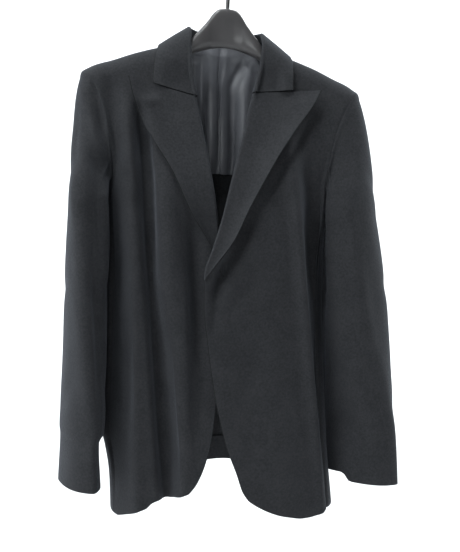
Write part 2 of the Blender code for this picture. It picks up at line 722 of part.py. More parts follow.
def sleeve_panels(side):
    name = SIDE_NAMES[side]
    rows = np.concatenate([steps(0, CAP_SHARE, SLEEVE_CAP_ROWS), steps(CAP_SHARE, 1, SLEEVE_ROWS_BELOW)[1:]])
    every = sleeve_turns()
    back_seam, front_seam = (np.argmin(np.abs(every - seam)) for seam in (SLEEVE_BACK_SEAM, SLEEVE_FRONT_SEAM))
    upper = np.concatenate([every[back_seam:-1] - 1, every[: front_seam + 1]])
    lower = every[front_seam : back_seam + 1]
    lengthwise = {"first_column": SLEEVE_HALF_GAP, "last_column": SLEEVE_HALF_GAP}
    at_armhole, at_elbow = {"first_row": ARMHOLE_HALF_GAP}, {"first_row": SEAM_HALF_GAP}
    outer = sample(sleeve_point, side, upper, rows)
    inner = sample(sleeve_point, side, lower, rows)
    elbow = SLEEVE_CAP_ROWS + SLEEVE_SPLIT_ROW
    above, below = outer[: elbow + 1], outer[elbow:]
    return [
        Panel("sleeve_upper_" + name, above, lengthwise | at_armhole | {"last_row": SEAM_HALF_GAP}, (side, 0, 0)),
        Panel("sleeve_upper_low_" + name, below, lengthwise | at_elbow, (side, 0, 0)),
        Panel("sleeve_under_" + name, inner, lengthwise | at_armhole, (-side, 0, 0)),
    ]


def shared_normals(panels):
    """Normals of each panel, the same on both sides of a seam over which the cloth runs on."""
    own = [grid_normals(panel.grid, panel.out).reshape(-1, 3) for panel in panels]
    points = np.concatenate([panel.grid.reshape(-1, 3) for panel in panels])
    every = np.concatenate(own)
    tree = KDTree(len(points))
    for index, point in enumerate(points):
        tree.insert(point, index)
    tree.balance()
    merged = np.zeros_like(every)
    for index, point in enumerate(points):
        for _, other, _ in tree.find_range(point, MEETING_RADIUS):
            if np.dot(every[other], every[index]) > RUNS_ON_COSINE:
                merged[index] += every[other]
        if abs(point[1] - SHOULDER_SEAM_Y) < MEETING_RADIUS:
            merged[index][1] = 0
    merged /= np.linalg.norm(merged, axis=-1, keepdims=True)
    parts = np.split(merged, np.cumsum([len(part) for part in own])[:-1])
    return [part.reshape(panel.grid.shape) for part, panel in zip(parts, panels)]


def add_panels(panels):
    for panel, normals in zip(panels, shared_normals(panels)):
        grid = inset(panel.grid, panel.seams)
        add_wall(panel.name, grid, panel.thickness, panel.out, panel.finish, normals)


def lapel_row(side, roll_z, steps_out, turns=ROLL_TURNS):
    """One row of a lapel: the return inside the front, the roll, and the leaf over the chest."""
    table = LAPELS[side]
    start = np.array([along(FRONT_EDGES, "z", SIDE_NAMES[side], roll_z), roll_z])
    edge = np.array([along(table, "roll_z", "edge_x", roll_z), along(table, "roll_z", "edge_z", roll_z)])
    lift = along(table, "roll_z", "lift", roll_z)
    across = edge - start
    length = np.linalg.norm(across)
    across = across / length
    middle_out = -WOOL_WALL / 2
    inside = middle_out - ROLL_RADIUS
    path = [(min(RETURN_REACH, 0.6 * length), inside), (0.3 * min(RETURN_REACH, length), inside)]
    for turn in turns:
        path.append((ROLL_RADIUS * cos(radians(turn)), middle_out + ROLL_RADIUS * sin(radians(turn))))
    leaf = middle_out + ROLL_RADIUS
    path += [(length * share, leaf + lift * share**2) for share in steps_out]
    row = []
    for reach, rise in path:
        x, z = start + across * reach
        row.append((x, front_y(side, x, z) - rise, z))
    return row


def add_lapel(side):
    table = LAPELS[side]
    roll_heights = np.linspace(table[0].roll_z - SEAM_HALF_GAP, table[-1].roll_z, LAPEL_ROWS + 1)
    grid = np.array([lapel_row(side, z, LAPEL_LEAF_STEPS) for z in roll_heights])
    add_wall("lapel_" + SIDE_NAMES[side], grid, LAPEL_WALL, (0, -1, 0))


def collar_row(turn, stand_steps=COLLAR_STAND_STEPS, fold_turns=COLLAR_FOLD_TURNS, leaf_steps=COLLAR_LEAF_STEPS):
    """One row of the collar: up the stand, round the fold, and down the leaf."""
    side = LEFT if turn >= 0 else RIGHT
    share = abs(turn)

    def point(part):
        x, y, z = (along(COLLARS, "turn", part + axis, share) for axis in ("_x", "_y", "_z"))
        end = ease((share - COLLAR_END_FROM[side]) / (1 - COLLAR_END_FROM[side]))
        return np.array([side * (x + COLLAR_END_OUT[side][part] * end), y, z - COLLAR_END_DROP[side][part] * end])

    seam, fold, edge = point("seam"), point("fold"), point("edge")
    stand, leaf = seam - fold, edge - fold
    stand_way, leaf_way = stand / np.linalg.norm(stand), leaf / np.linalg.norm(leaf)
    up = -(stand_way + leaf_way)
    up /= np.linalg.norm(up)
    over = leaf_way - stand_way
    over -= up * np.dot(over, up)
    over /= np.linalg.norm(over)
    middle = fold - up * COLLAR_ROLL_RADIUS
    stand_top = middle - over * COLLAR_ROLL_RADIUS
    leaf_top = middle + over * COLLAR_ROLL_RADIUS
    row = [seam + (stand_top - seam) * step for step in stand_steps]
    for angle in fold_turns:
        row.append(middle + COLLAR_ROLL_RADIUS * (over * cos(radians(angle)) + up * sin(radians(angle))))
    outward = np.cross(leaf_way, np.cross(up, leaf_way))
    for step in leaf_steps:
        bow = COLLAR_BOW * sin(pi * step)
        row.append(leaf_top + (edge - leaf_top) * step + outward * bow)
    return row


def add_collar():
    turns = np.linspace(-1, 1, COLLAR_ROWS + 1)
    grid = np.array([collar_row(turn) for turn in turns])
    grid = inset(grid, {"first_row": SEAM_HALF_GAP, "last_row": SEAM_HALF_GAP})
    add_wall("collar", grid, LAPEL_WALL, (0, 1, 0))


def lining_point(side, across, up):
    """Half lining, in front of the back panel: across from the centre seam, up from its foot."""
    x = side * LINING_HALF_WIDTH * across
    foot = LINING_FOOT_Z + (LINING_SIDE_FOOT_Z - LINING_FOOT_Z) * across**2
    top = np.minimum(LINING_TOP_Z, shoulder_z(x) - BACK_ROLL)
    z = foot + (top - foot) * up
    folds = fold_rise(LININGS, side, x, z) * ease(across / LINING_SEAM_SHARE)
    loose = LINING_STAND + folds * np.clip(4 * up + 0.4, 0, 1)
    clear = np.maximum(loose * ease(1.2 - up), LINING_CLEARANCE)
    return np.stack([x, back_y(side, x, z) - WOOL_WALL - clear, z], axis=-1)


def turn_up_point(side, across, up):
    """Hem of the back, turned up inside it."""
    hem = back_point(side, across, np.zeros_like(across))
    z = hem[..., 2] + TURN_UP_HEIGHT * up
    y = back_y(side, hem[..., 0], z) - WOOL_WALL - TURN_UP_CLEARANCE
    return np.stack([hem[..., 0], y, z], axis=-1)


def inside_panels(side):
    name = SIDE_NAMES[side]
    centre = {"first_column": SEAM_HALF_GAP}
    lining = sample(lining_point, side, steps(0, 1, LINING_COLUMNS), steps(0, 1, LINING_ROWS))
    hem = sample(turn_up_point, side, steps(0, TURN_UP_SHARE, LINING_COLUMNS), steps(0, 1, 2))
    return [
        Panel("lining_back_" + name, lining, centre, (0, 1, 0), LINING_WALL, SATIN),
        Panel("hem_turn_up_" + name, hem, centre, (0, 1, 0), LINING_WALL),
    ]


def add_hanger():
    """The moulded arms: rounded sections from one end to the other."""
    reach = [-arm.x for arm in ARMS[:0:-1]] + [arm.x for arm in ARMS]
    turns = [2 * pi * i / RING_STEPS for i in range(RING_STEPS)]
    points = []
    for x in reach:
        arm = next(arm for arm in ARMS if arm.x == abs(x))
        middle, tall = (arm.top + arm.foot) / 2, (arm.top - arm.foot) / 2
        for turn in turns:
            round_y = abs(cos(turn)) ** (2 / ARM_POWER) * (1 if cos(turn) >= 0 else -1)
            round_z = abs(sin(turn)) ** (2 / ARM_POWER) * (1 if sin(turn) >= 0 else -1)
            points.append((x, arm.y + arm.half * round_y, middle + tall * round_z))
    faces = []
    for row in range(len(reach) - 1):
        for step in range(RING_STEPS):
            after = (step + 1) % RING_STEPS
            here, there = row * RING_STEPS, (row + 1) * RING_STEPS
            faces.append([here + step, here + after, there + after, there + step])
    last = (len(reach) - 1) * RING_STEPS
    faces.append(list(range(RING_STEPS)))
    faces.append([last + step for step in reversed(range(RING_STEPS))])
    add_mesh("hanger_arms", points, faces, PLASTIC)


def hook_route():
    """Middle of the hook's rod: the stem, a sweep out to one side, and the bow over the top."""
    top = HOOK_RADIUS
    middle_z = top - HOOK_BOW
    route = [(0, HOOK_STEM_FOOT), (0, HOOK_STEM_TOP - 6)]
    start, end = np.array([0, HOOK_STEM_TOP]), np.array([HOOK_BOW, middle_z])
    leave, arrive = np.array([0, 22.0]), np.array([0, 30.0])
    for t in steps(0, 1, 7)[:-1]:
        route.append(
            tuple(
                start * (1 + 2 * t) * (1 - t) ** 2
                + leave * t * (1 - t) ** 2
                + end * t * t * (3 - 2 * t)
                + arrive * t * t * (t - 1)
            )
        )
    for angle in np.linspace(0, radians(HOOK_TIP_TURN), 17):
        route.append((HOOK_BOW * cos(angle), middle_z + HOOK_BOW * sin(angle)))
    return route


def add_hook():
    curve = bpy.data.curves.new("hanger_hook", "CURVE")
    curve.dimensions = "3D"
    curve.bevel_depth = HOOK_RADIUS * MM
    curve.bevel_resolution = 2
    curve.use_fill_caps = True
    spline = curve.splines.new("POLY")
    route = hang([(x, 0, z) for x, z in hook_route()])
    spline.points.add(len(route) - 1)
    for point, place in zip(spline.points, route):
        point.co = (*place, 1)
    add_object("hanger_hook", curve, STEEL)


def main():
    for obj in list(bpy.data.objects):
        bpy.data.objects.remove(obj)
    panels = []
    for side in (LEFT, RIGHT):
        panels += body_panels(side) + sleeve_panels(side) + inside_panels(side)
        add_lapel(side)
    add_panels(panels)
    add_collar()
    add_hanger()
    add_hook()


main()
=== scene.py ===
"""Looks of a man's jacket on a hanger: fine cloth, materials, light and camera.

The tables and surfaces are in millimetres in the hanger's own frame: the wearer's left is +X and the
front faces -Y. hang() tilts the hanger and turns them into metres.
"""

from collections import namedtuple
from math import cos, pi, radians, sin, tan

import bpy
import numpy as np
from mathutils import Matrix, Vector, noise
from numpy.linalg import norm


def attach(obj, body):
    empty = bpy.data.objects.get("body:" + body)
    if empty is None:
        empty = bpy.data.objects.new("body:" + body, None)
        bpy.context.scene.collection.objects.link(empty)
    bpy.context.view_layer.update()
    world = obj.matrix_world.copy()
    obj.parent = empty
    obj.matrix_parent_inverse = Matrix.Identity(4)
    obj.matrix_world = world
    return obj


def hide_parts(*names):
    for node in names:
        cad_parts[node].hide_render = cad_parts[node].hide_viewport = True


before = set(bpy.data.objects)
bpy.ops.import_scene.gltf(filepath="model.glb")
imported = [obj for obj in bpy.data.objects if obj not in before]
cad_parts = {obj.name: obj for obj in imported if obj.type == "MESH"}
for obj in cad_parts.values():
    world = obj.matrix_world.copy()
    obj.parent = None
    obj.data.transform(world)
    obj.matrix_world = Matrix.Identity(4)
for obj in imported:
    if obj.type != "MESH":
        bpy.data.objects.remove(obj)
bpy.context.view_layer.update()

MM = 0.001
TINY = 1e-9
LEFT, RIGHT = 1, -1
SIDE_NAMES = {LEFT: "left", RIGHT: "right"}

# Walls of the cloth
WOOL_WALL = 1.8
LINING_WALL = 1.0

# How it hangs
TILT = radians(3.3)
SHOULDER_TIP = (207, -174)
NECK_POINT = (74, -126)
CENTRE_NECK_Z = -137
UNDERARM_Z = -322
UNDERARM_DIP = 12
UNDERARM_BLEND = 40
SHOULDER_SEAM_Y = 4
FRONT_ROLL = 25
BACK_ROLL = 30

# Rows of a front or a back below and above the underarm, as a share of all its rows
ARM_SHARE = 0.62
TOP_CROWDING = 1.6
SECTION_POWER = 3.0
SEAM_REACH = {LEFT: 0.9, RIGHT: 0.97}
SIDE_BULGE_POWER, SIDE_BULGE_FULLNESS = 2.6, 1.3



def rows_of(kind, *rows):
    return tuple(kind(*row) for row in rows)


# Body sections: half width on each side, and depth in front of and behind the hanger's middle
Level = namedtuple("Level", "z left right front back")
LEVELS = rows_of(
    Level,
    (-840, 169, 176, 84, 62), (-800, 166, 176.6, 83.6, 61.4), (-765, 163.2, 178, 83, 60),
    (-735, 161, 181.8, 82.3, 58.6), (-705, 159, 186.4, 81.4, 57), (-620, 157.6, 184, 80, 53),
    (-550, 157, 182, 79, 50), (-490, 157.4, 180.5, 79.6, 48.6), (-430, 158, 178, 80, 48),
    (-380, 160, 176, 77, 50.5), (-330, 163, 174, 71, 55), (-280, 190, 196, 58, 52),
    (-230, 235, 238, 44, 45), (-190, 300, 300, 32, 39), (-160, 320, 320, 24, 36),
    (-120, 320, 320, 15, 33),
)

# Inner edge of each front: the corner of the hem, the closing edge, the roll line and the gorge
Edge = namedtuple("Edge", "z left right")
FRONT_EDGES = rows_of(
    Edge,
    (-785, 26, -64), (-772, 17, -53.2), (-748, 8.5, -42), (-705, -8, -30.2), (-639, -24, -20),
    (-560, -35, -13), (-502, -40, -10), (-460, -38, -11), (-416, -24, -18), (-367, -8, -23),
    (-308, 9, -32), (-251, 27, -41), (-212, 37, -48), (-190, 45, -52), (-150, 64, -65), (-126, 74, -74),
)

# Armhole: how far out the seam lies on the front and on the back
Armhole = namedtuple("Armhole", "z front back")
ARMHOLES = {
    LEFT: rows_of(
        Armhole,
        (-322, 147, 147), (-280, 155, 164), (-244, 165, 176), (-207, 181, 190), (-190, 191, 198),
        (-174, 207, 207),
    ),
    RIGHT: rows_of(
        Armhole,
        (-322, 166, 166), (-280, 170, 174), (-244, 175, 182), (-207, 185, 191), (-190, 193, 198),
        (-174, 207, 207),
    ),
}

# Shoulder seam, from the neck to the tip
Shoulder = namedtuple("Shoulder", "x z")
SHOULDERS = rows_of(
    Shoulder,
    (74, -126), (98, -131.5), (132, -142.5), (166, -156), (190, -164.5), (207, -174),
)

# Hem of each front, by the distance from the middle
Hem = namedtuple("Hem", "x z")
HEMS = {
    LEFT: rows_of(
        Hem,
        (26, -793), (36, -799.5), (54, -808.5), (74, -815.5), (93, -819.3), (107, -821.5), (121, -821),
        (141, -815), (150, -809),
    ),
    RIGHT: rows_of(
        Hem,
        (64, -780.5), (71, -783.3), (80, -787.5), (86, -791.3), (92, -794.8), (104, -794.6), (110, -795.2),
        (117, -798.4), (125, -806), (134, -809.2), (150, -817.2), (167, -827),
    ),
}
SIDE_HEM_RISE = {LEFT: 6, RIGHT: 3}
CENTRE_BACK_HEM_Z = -771
BACK_HEM_BOW = 10
HEM_FADE = 0.3

# The crest of the left front and the trough of the right one, which the grid's columns follow
Guide = namedtuple("Guide", "z left right")
GUIDES = rows_of(
    Guide,
    (-810, 142, -92), (-752, 138, -95.5), (-672, 130, -100), (-590, 122, -105), (-453, 109, -113),
    (-379, 102, -117.5), (-313, 98, -121), (-242, 115, -125.5), (-178, 162.7, -140.5),
    (-160, 162.7, -140.5),
)
GUIDE_SHARE = {LEFT: 12 / 18, RIGHT: 9 / 18}

# Long folds of the fronts: a ridge rises and a trough sinks along a line down the cloth
Fold = namedtuple("Fold", "side top_x top_z foot_x foot_z width rise fade")
FRONT_FOLDS = rows_of(
    Fold,
    (RIGHT, -126, -235, -91, -830, 10, -24, 50), (RIGHT, -146, -250, -139, -840, 14, 9, 70),
    (RIGHT, -180, -340, -180, -700, 13, -22, 90), (RIGHT, -98, -330, -66, -840, 18, 6, 90),
    (LEFT, 93, -290, 144, -800, 12, 12, 110), (LEFT, 125, -340, 158, -700, 16, -34, 90),
)
BACK_FOLDS = rows_of(
    Fold,
    (RIGHT, -112, -260, -120, -840, 18, -7, 100), (RIGHT, -70, -330, -58, -840, 22, 5, 120),
    (LEFT, 108, -260, 118, -840, 18, -7, 100), (LEFT, 64, -360, 70, -840, 24, 5, 120),
)

# Where the fronts lap, the left one stands out and the right one sinks in
LAP_TOP_Z, LAP_FOOT_Z, LAP_FADE = -400, -650, 70
LEFT_LAP_RISE, LEFT_LAP_FROM, LEFT_LAP_OVER = 8, 40, 60
RIGHT_LAP_SINK, RIGHT_LAP_FROM, RIGHT_LAP_OVER = 9, -95, 65

# Lapels: the outer edge of each against the height of its roll line, and how far it stands off
Lapel = namedtuple("Lapel", "roll_z edge_x edge_z lift")
LAPELS = {
    LEFT: rows_of(
        Lapel,
        (-191, 140, -181, 13), (-222, 124, -207, 12), (-265, 91, -252, 9), (-330, 58.5, -301, 8),
        (-390, 26, -358, 7), (-432, 1, -408, 7), (-464, -28, -447, 5),
    ),
    RIGHT: rows_of(
        Lapel,
        (-203, -142, -183, 15), (-222, -135, -213, 10), (-265, -117, -257, 4), (-330, -84, -313, 3),
        (-390, -57, -372, 3), (-432, -31, -414, 2), (-460, -20, -449, 1),
    ),
}
ROLL_RADIUS = 4.2
ROLL_TURNS = tuple(np.linspace(-90, -270, 15))
LEAF_STEPS = tuple(np.linspace(0, 1, 41)[1:])
RETURN_REACH = 12
RETURN_SHARE, RETURN_TURN_SHARE = 0.6, 0.3
LAPEL_CURL = {LEFT: 6, RIGHT: 4}
CURL_HEAD, CURL_TAIL, CURL_POWER = 0.1, 0.35, 3

# Collar, from the centre back (turn 0) to the gorge (turn 1): neck seam, fold and free edge
Collar = namedtuple("Collar", "turn seam_x seam_y seam_z fold_x fold_y fold_z edge_x edge_y edge_z")
COLLARS = rows_of(
    Collar,
    (0.00, 0, 38, -133, 0, 45, -101, 0, 56, -147), (0.30, 34, 35, -131, 29, 42, -97, 46, 52, -145),
    (0.50, 60, 20, -127, 48, 26, -95.5, 80, 35, -137), (0.64, 68, 5, -123, 53, 8, -97, 98, 4, -127),
    (0.78, 62, -9, -132, 53, -16, -114, 103, -21, -143),
    (0.90, 53, -15, -160, 49, -28, -150, 104, -33, -165),
    (1.00, 39, -21, -190, 41, -36, -190, 104, -38, -183.4),
)
COLLAR_END_OUT = {LEFT: {"seam": 0, "fold": 0, "edge": -6}, RIGHT: {"seam": 3, "fold": 3, "edge": 3}}
COLLAR_END_FROM = {LEFT: 0.55, RIGHT: 0.7}
COLLAR_END_DROP = {LEFT: {"seam": 0, "fold": 0, "edge": 0}, RIGHT: {"seam": 12, "fold": 12, "edge": 6}}
COLLAR_STAND_STEPS = tuple(np.linspace(0, 1, 9)[:-1])
COLLAR_FOLD_TURNS = tuple(np.linspace(180, 0, 13))
COLLAR_ROLL_RADIUS = 3.2
COLLAR_BOW = 2.0

# Near the gorge the collar's leaf lies on the lapel, up to where the notch opens
GORGE_FROM, GORGE_OPEN_FROM, GORGE_OPEN_OVER = 0.84, 0.5, 0.35

# Sleeve rings: the middle, half the short way across, half the long way, how far the front edge is
# turned outwards in degrees, and how far a second fold stands out beside the body
Ring = namedtuple("Ring", "z x y width depth turn fold")
SLEEVES = {
    LEFT: rows_of(
        Ring,
        (-362, 195, -8, 41, 66, -18, 12), (-430, 197.8, -10, 48, 64, -8, 10),
        (-510, 200.5, -13, 53, 62, 5, 7), (-594, 205.6, -18, 49.7, 61, 25, 5),
        (-650, 209.6, -23, 45, 60, 36, 4), (-690, 211.3, -27, 37.8, 59, 45, 2),
        (-770, 213, -34, 31, 56, 58, 0),
    ),
    RIGHT: rows_of(
        Ring,
        (-362, 200.8, -8, 25.8, 68, 13, 20), (-430, 205.2, -10, 29.2, 66, 6, 15.5),
        (-510, 208.5, -13, 31.5, 64, 0, 7.5), (-594, 212.2, -18, 30.2, 60, -11, 3.5),
        (-700, 217.5, -27, 27, 56, -22, 2), (-713, 220.2, -29, 22.3, 55, -22, 1),
        (-780, 221.2, -34, 25.8, 52, -25, 0),
    ),
}
SLEEVE_FOLD_TURN, SLEEVE_FOLD_WIDTH = 0.37, 0.07
SLEEVE_CLEARANCE = {LEFT: 1.5, RIGHT: 3.5}
CUFF_STEP_TURN, CUFF_STEP_WIDTH, CUFF_STEP_END = 0.55, 0.03, 0.9
CUFF_STEP_RISE = {LEFT: 12, RIGHT: 0}
CUFF_STEP_FROM = 0.75
CAP_SHARE = 0.3
CAP_LEAVE_TOP = np.array([0.3, 0, -0.55])
CAP_LEAVE_LOW = np.array([0.15, 0, -0.9])
CAP_ARRIVE = {LEFT: np.array([0.06, 0, -1.0]), RIGHT: np.array([0.05, 0, -1.0])}
CAP_LOW_SHARE = 0.2
FRONT_SEAM_TURN = 0.38
BACK_SEAM_TURN = 0.62
SLEEVE_FRONT_SEAM = FRONT_SEAM_TURN * 7 / 8
SLEEVE_BACK_SEAM = BACK_SEAM_TURN + (1 - BACK_SEAM_TURN) * 2 / 8
FRONT_PINCH = 0.35

# Half lining of the back and the turned-up hem
LINING_FOOT_Z = -309
LINING_SIDE_FOOT_Z = -332
LINING_TOP_Z = -143
LINING_HALF_WIDTH = 118
LINING_STAND = 6
LINING_CLEARANCE = 1.5
LINING_SEAM_SHARE = 0.08
LINING_LOOSE_SLOPE, LINING_LOOSE_FOOT, LINING_HELD_TOP = 4, 0.4, 1.2
STAND_LINING_HALF, STAND_LINING_FADE, STAND_LINING_TOP, STAND_LINING_ROWS = 66, 16, -112, 14
STAND_CLEARANCE = 4.2
LININGS = rows_of(
    Fold,
    (RIGHT, -12, -130, -8, -330, 7, 6, 30), (RIGHT, -34, -130, -30, -330, 9, -3, 30),
    (LEFT, 12, -130, 9, -330, 7, 5, 30), (LEFT, 27, -170, 22, -330, 6, -4, 30),
    (LEFT, 42, -150, 38, -330, 9, 5, 40),
)
TURN_UP_HEIGHT = 39
TURN_UP_SHARE = 0.9
TURN_UP_CLEARANCE = 0.6

# Hanger arm by distance from the middle: upper and lower edge, middle and half of its thickness
Arm = namedtuple("Arm", "x top foot y half")
ARMS = rows_of(
    Arm,
    (0, -67, -125, 0, 8), (8, -69, -125.5, 0, 8), (21, -77, -127.5, 0, 9), (29, -88, -130, -1, 10),
    (41, -103, -134, -2, 11), (52, -117, -139, -3, 10), (61, -137, -150, -1, 9),
    (78, -146, -163, 0, 11), (110, -152, -174, 0, 13), (150, -166, -190, 1, 13),
    (180, -178, -203, 1, 12), (187, -184, -199, 1, 8),
)
ARM_POWER = 2.6
HOOK_RADIUS = 3
HOOK_BOW = 22
HOOK_STEM_FOOT = -66.7
HOOK_STEM_TOP = -50
HOOK_TIP_TURN = 205
HOOK_NECK = 6
HOOK_LEAVE, HOOK_ARRIVE = np.array([0, 22.0]), np.array([0, 30.0])
HOOK_SWEEP_STEPS, HOOK_BOW_POINTS = 7, 17
ARM_SECTIONS, ARM_RING, ARM_SHARP = 96, 48, 60
DOME_RISE, DOME_X, DOME_WIDTH = 2.2, 15, 7


def clamp(t):
    return np.clip(t, 0, 1)


def xyz(x, y, z):
    return np.stack([x, y, z], axis=-1)


def ease(t):
    """0 below 0, 1 above 1, and a smooth rise between."""
    t = clamp(t)
    return t * t * (3 - 2 * t)


def bell(t):
    """1 at 0, and a smooth fall to 0 on both sides."""
    return np.exp(-(t**2))


def curve_between(t, start, leave, end, arrive):
    """A smooth curve from start to end, with the slopes that it leaves and arrives with."""
    return (
        start * (1 + 2 * t) * (1 - t) ** 2
        + leave * t * (1 - t) ** 2
        + end * t * t * (3 - 2 * t)
        + arrive * t * t * (t - 1)
    )


def along(table, key, column, at):
    """A column of a table at any value of its key, on a smooth curve through the rows."""
    keys = np.array([getattr(row, key) for row in table], float)
    values = np.array([getattr(row, column) for row in table], float)
    if keys[0] > keys[-1]:
        keys, values = keys[::-1], values[::-1]
    steps = np.diff(values) / np.diff(keys)
    slopes = np.zeros(len(keys))
    slopes[0], slopes[-1] = steps[0], steps[-1]
    same_way = steps[:-1] * steps[1:] > 0
    inner = 2 * steps[:-1] * steps[1:] / np.where(same_way, steps[:-1] + steps[1:], 1)
    slopes[1:-1] = np.where(same_way, inner, 0)
    at = np.clip(np.asarray(at, float), keys[0], keys[-1])
    cell = np.clip(np.searchsorted(keys, at, side="right") - 1, 0, len(keys) - 2)
    span = keys[cell + 1] - keys[cell]
    t = (at - keys[cell]) / span
    return curve_between(t, values[cell], slopes[cell] * span, values[cell + 1], slopes[cell + 1] * span)


def hang(points):
    """Tilts the hanger about its hook, drops the cloth straight from it, and gives metres."""
    points = np.array(points, float)
    lean = tan(TILT)
    x = points[..., 0] + lean * np.maximum(points[..., 2], SHOULDER_TIP[1])
    z = points[..., 2] - lean * points[..., 0]
    return xyz(x, points[..., 1], z) * MM


def level(column, z):
    return along(LEVELS, "z", column, z)


def half_width(side, z):
    return level(SIDE_NAMES[side], z)


def shoulder_z(x):
    """Height of the shoulder line, carried on up to the middle inside the neck."""
    x = np.abs(x)
    slope = (SHOULDERS[1].z - SHOULDERS[0].z) / (SHOULDERS[1].x - SHOULDERS[0].x)
    inside = SHOULDERS[0].z + slope * (x - SHOULDERS[0].x)
    return np.where(x < SHOULDERS[0].x, inside, along(SHOULDERS, "x", "z", x))


def roll(drop, radius):
    """How much of its depth the cloth has this far below the shoulder line."""
    return np.sqrt(clamp(1 - (1 - clamp(drop / radius)) ** 2))


def crown(side, x, z):
    """How much of the full depth a body section keeps at this distance from its middle."""
    share = clamp(np.abs(x) / half_width(side, z))
    return (1 - share**SECTION_POWER) ** (1 / SECTION_POWER)


def body_reach(side, y, z):
    """How far out the body's section reaches at this place from front to back."""
    depth = np.where(y < SHOULDER_SEAM_Y, level("front", z), level("back", z))
    share = clamp(np.abs(y - SHOULDER_SEAM_Y) / depth)
    return half_width(side, z) * (1 - share**SECTION_POWER) ** (1 / SECTION_POWER)


def fold_rise(folds, side, x, z):
    rise = np.zeros(np.broadcast(x, z).shape)
    for fold in folds:
        if fold.side != side:
            continue
        share = (z - fold.top_z) / (fold.foot_z - fold.top_z)
        middle = fold.top_x + (fold.foot_x - fold.top_x) * share
        reach = ease((fold.top_z + fold.fade - z) / (2 * fold.fade))
        reach = reach * ease((z - fold.foot_z + fold.fade) / (2 * fold.fade) + 0.5)
        rise = rise + fold.rise * reach * bell((x - middle) / fold.width)
    return rise


def lap_rise(side, x, z):
    reach = ease((LAP_TOP_Z + LAP_FADE - z) / LAP_FADE) * ease((z - LAP_FOOT_Z + LAP_FADE) / LAP_FADE)
    if side == LEFT:
        return LEFT_LAP_RISE * reach * ease((LEFT_LAP_FROM - x) / LEFT_LAP_OVER)
    return -RIGHT_LAP_SINK * reach * ease((x - RIGHT_LAP_FROM) / RIGHT_LAP_OVER)


def front_y(side, x, z):
    """Outer face of a front."""
    depth = level("front", z) * crown(side, x, z)
    out = depth + fold_rise(FRONT_FOLDS, side, x, z) + lap_rise(side, x, z)
    return SHOULDER_SEAM_Y - out * roll(shoulder_z(x) - z, FRONT_ROLL)


def back_y(side, x, z):
    """Outer face of a back."""
    depth = level("back", z) * crown(side, x, z)
    out = depth + fold_rise(BACK_FOLDS, side, x, z)
    return SHOULDER_SEAM_Y + out * roll(shoulder_z(x) - z, BACK_ROLL)


def armhole_point(side, turn):
    """Point of the armhole seam: turn 0 and 1 at the shoulder tip, 0.5 under the arm."""
    turn = np.asarray(turn, float)

    def seam(share, column, surface):
        z = SHOULDER_TIP[1] - (SHOULDER_TIP[1] - UNDERARM_Z) * clamp(share) ** TOP_CROWDING
        x = side * along(ARMHOLES[side], "z", column, z)
        return xyz(x, surface(side, x, z), z)

    front = seam(turn / FRONT_SEAM_TURN, "front", front_y)
    back = seam((1 - turn) / (1 - BACK_SEAM_TURN), "back", back_y)
    across = clamp((turn - FRONT_SEAM_TURN) / (BACK_SEAM_TURN - FRONT_SEAM_TURN))
    under = side_point(side, across, np.ones_like(across))
    in_front = (turn <= FRONT_SEAM_TURN)[..., None]
    behind = (turn >= BACK_SEAM_TURN)[..., None]
    return np.where(in_front, front, np.where(behind, back, under))


def side_edges(side, z):
    """The front and back seams of the side panel at a height: x, front y and back y."""
    x = side * SEAM_REACH[side] * half_width(side, z)
    at_arm = clamp((z - UNDERARM_Z + UNDERARM_BLEND) / UNDERARM_BLEND)
    x = x + (side * ARMHOLES[side][0].front - x) * ease(at_arm)
    return x, front_y(side, x, z), back_y(side, x, z)


def side_hem_z(side):
    return HEMS[side][-1].z


def side_point(side, across, up):
    """Side panel: across from the front seam to the back seam, up from the hem to the armhole."""
    hem = side_hem_z(side) + SIDE_HEM_RISE[side] * across
    top = UNDERARM_Z - UNDERARM_DIP * np.sin(pi * across)
    z = hem + (top - hem) * up
    seam_x, seam_front, seam_back = side_edges(side, z)
    y = seam_front + (seam_back - seam_front) * across
    width = half_width(side, z) - np.abs(seam_x)
    bulge = (1 - np.abs(2 * across - 1) ** SIDE_BULGE_POWER) ** (1 / SIDE_BULGE_FULLNESS)
    return xyz(seam_x + side * width * bulge, y, z + 0 * y)


def above_arm(up):
    """How far a row lies from the underarm to the shoulder."""
    return clamp((up - ARM_SHARE) / (1 - ARM_SHARE))


def upper_share(up):
    """The same, with rows closer near the shoulder."""
    return 1 - (1 - above_arm(up)) ** TOP_CROWDING


def hem_share(up):
    """How much of the hem's shape a row above it keeps."""
    return clamp(1 - up / HEM_FADE) ** 2


def front_outer(side, up):
    """Outer edge of a front: the side seam, then the armhole up to the shoulder tip."""
    below = clamp(up / ARM_SHARE)
    hem = side_hem_z(side)
    z = hem + (UNDERARM_Z - hem) * below
    x = side_edges(side, z)[0]
    turn = FRONT_SEAM_TURN * (1 - above_arm(up))
    seam = armhole_point(side, turn)
    above = up > ARM_SHARE
    return np.where(above, seam[..., 0], x), np.where(above, seam[..., 2], z)


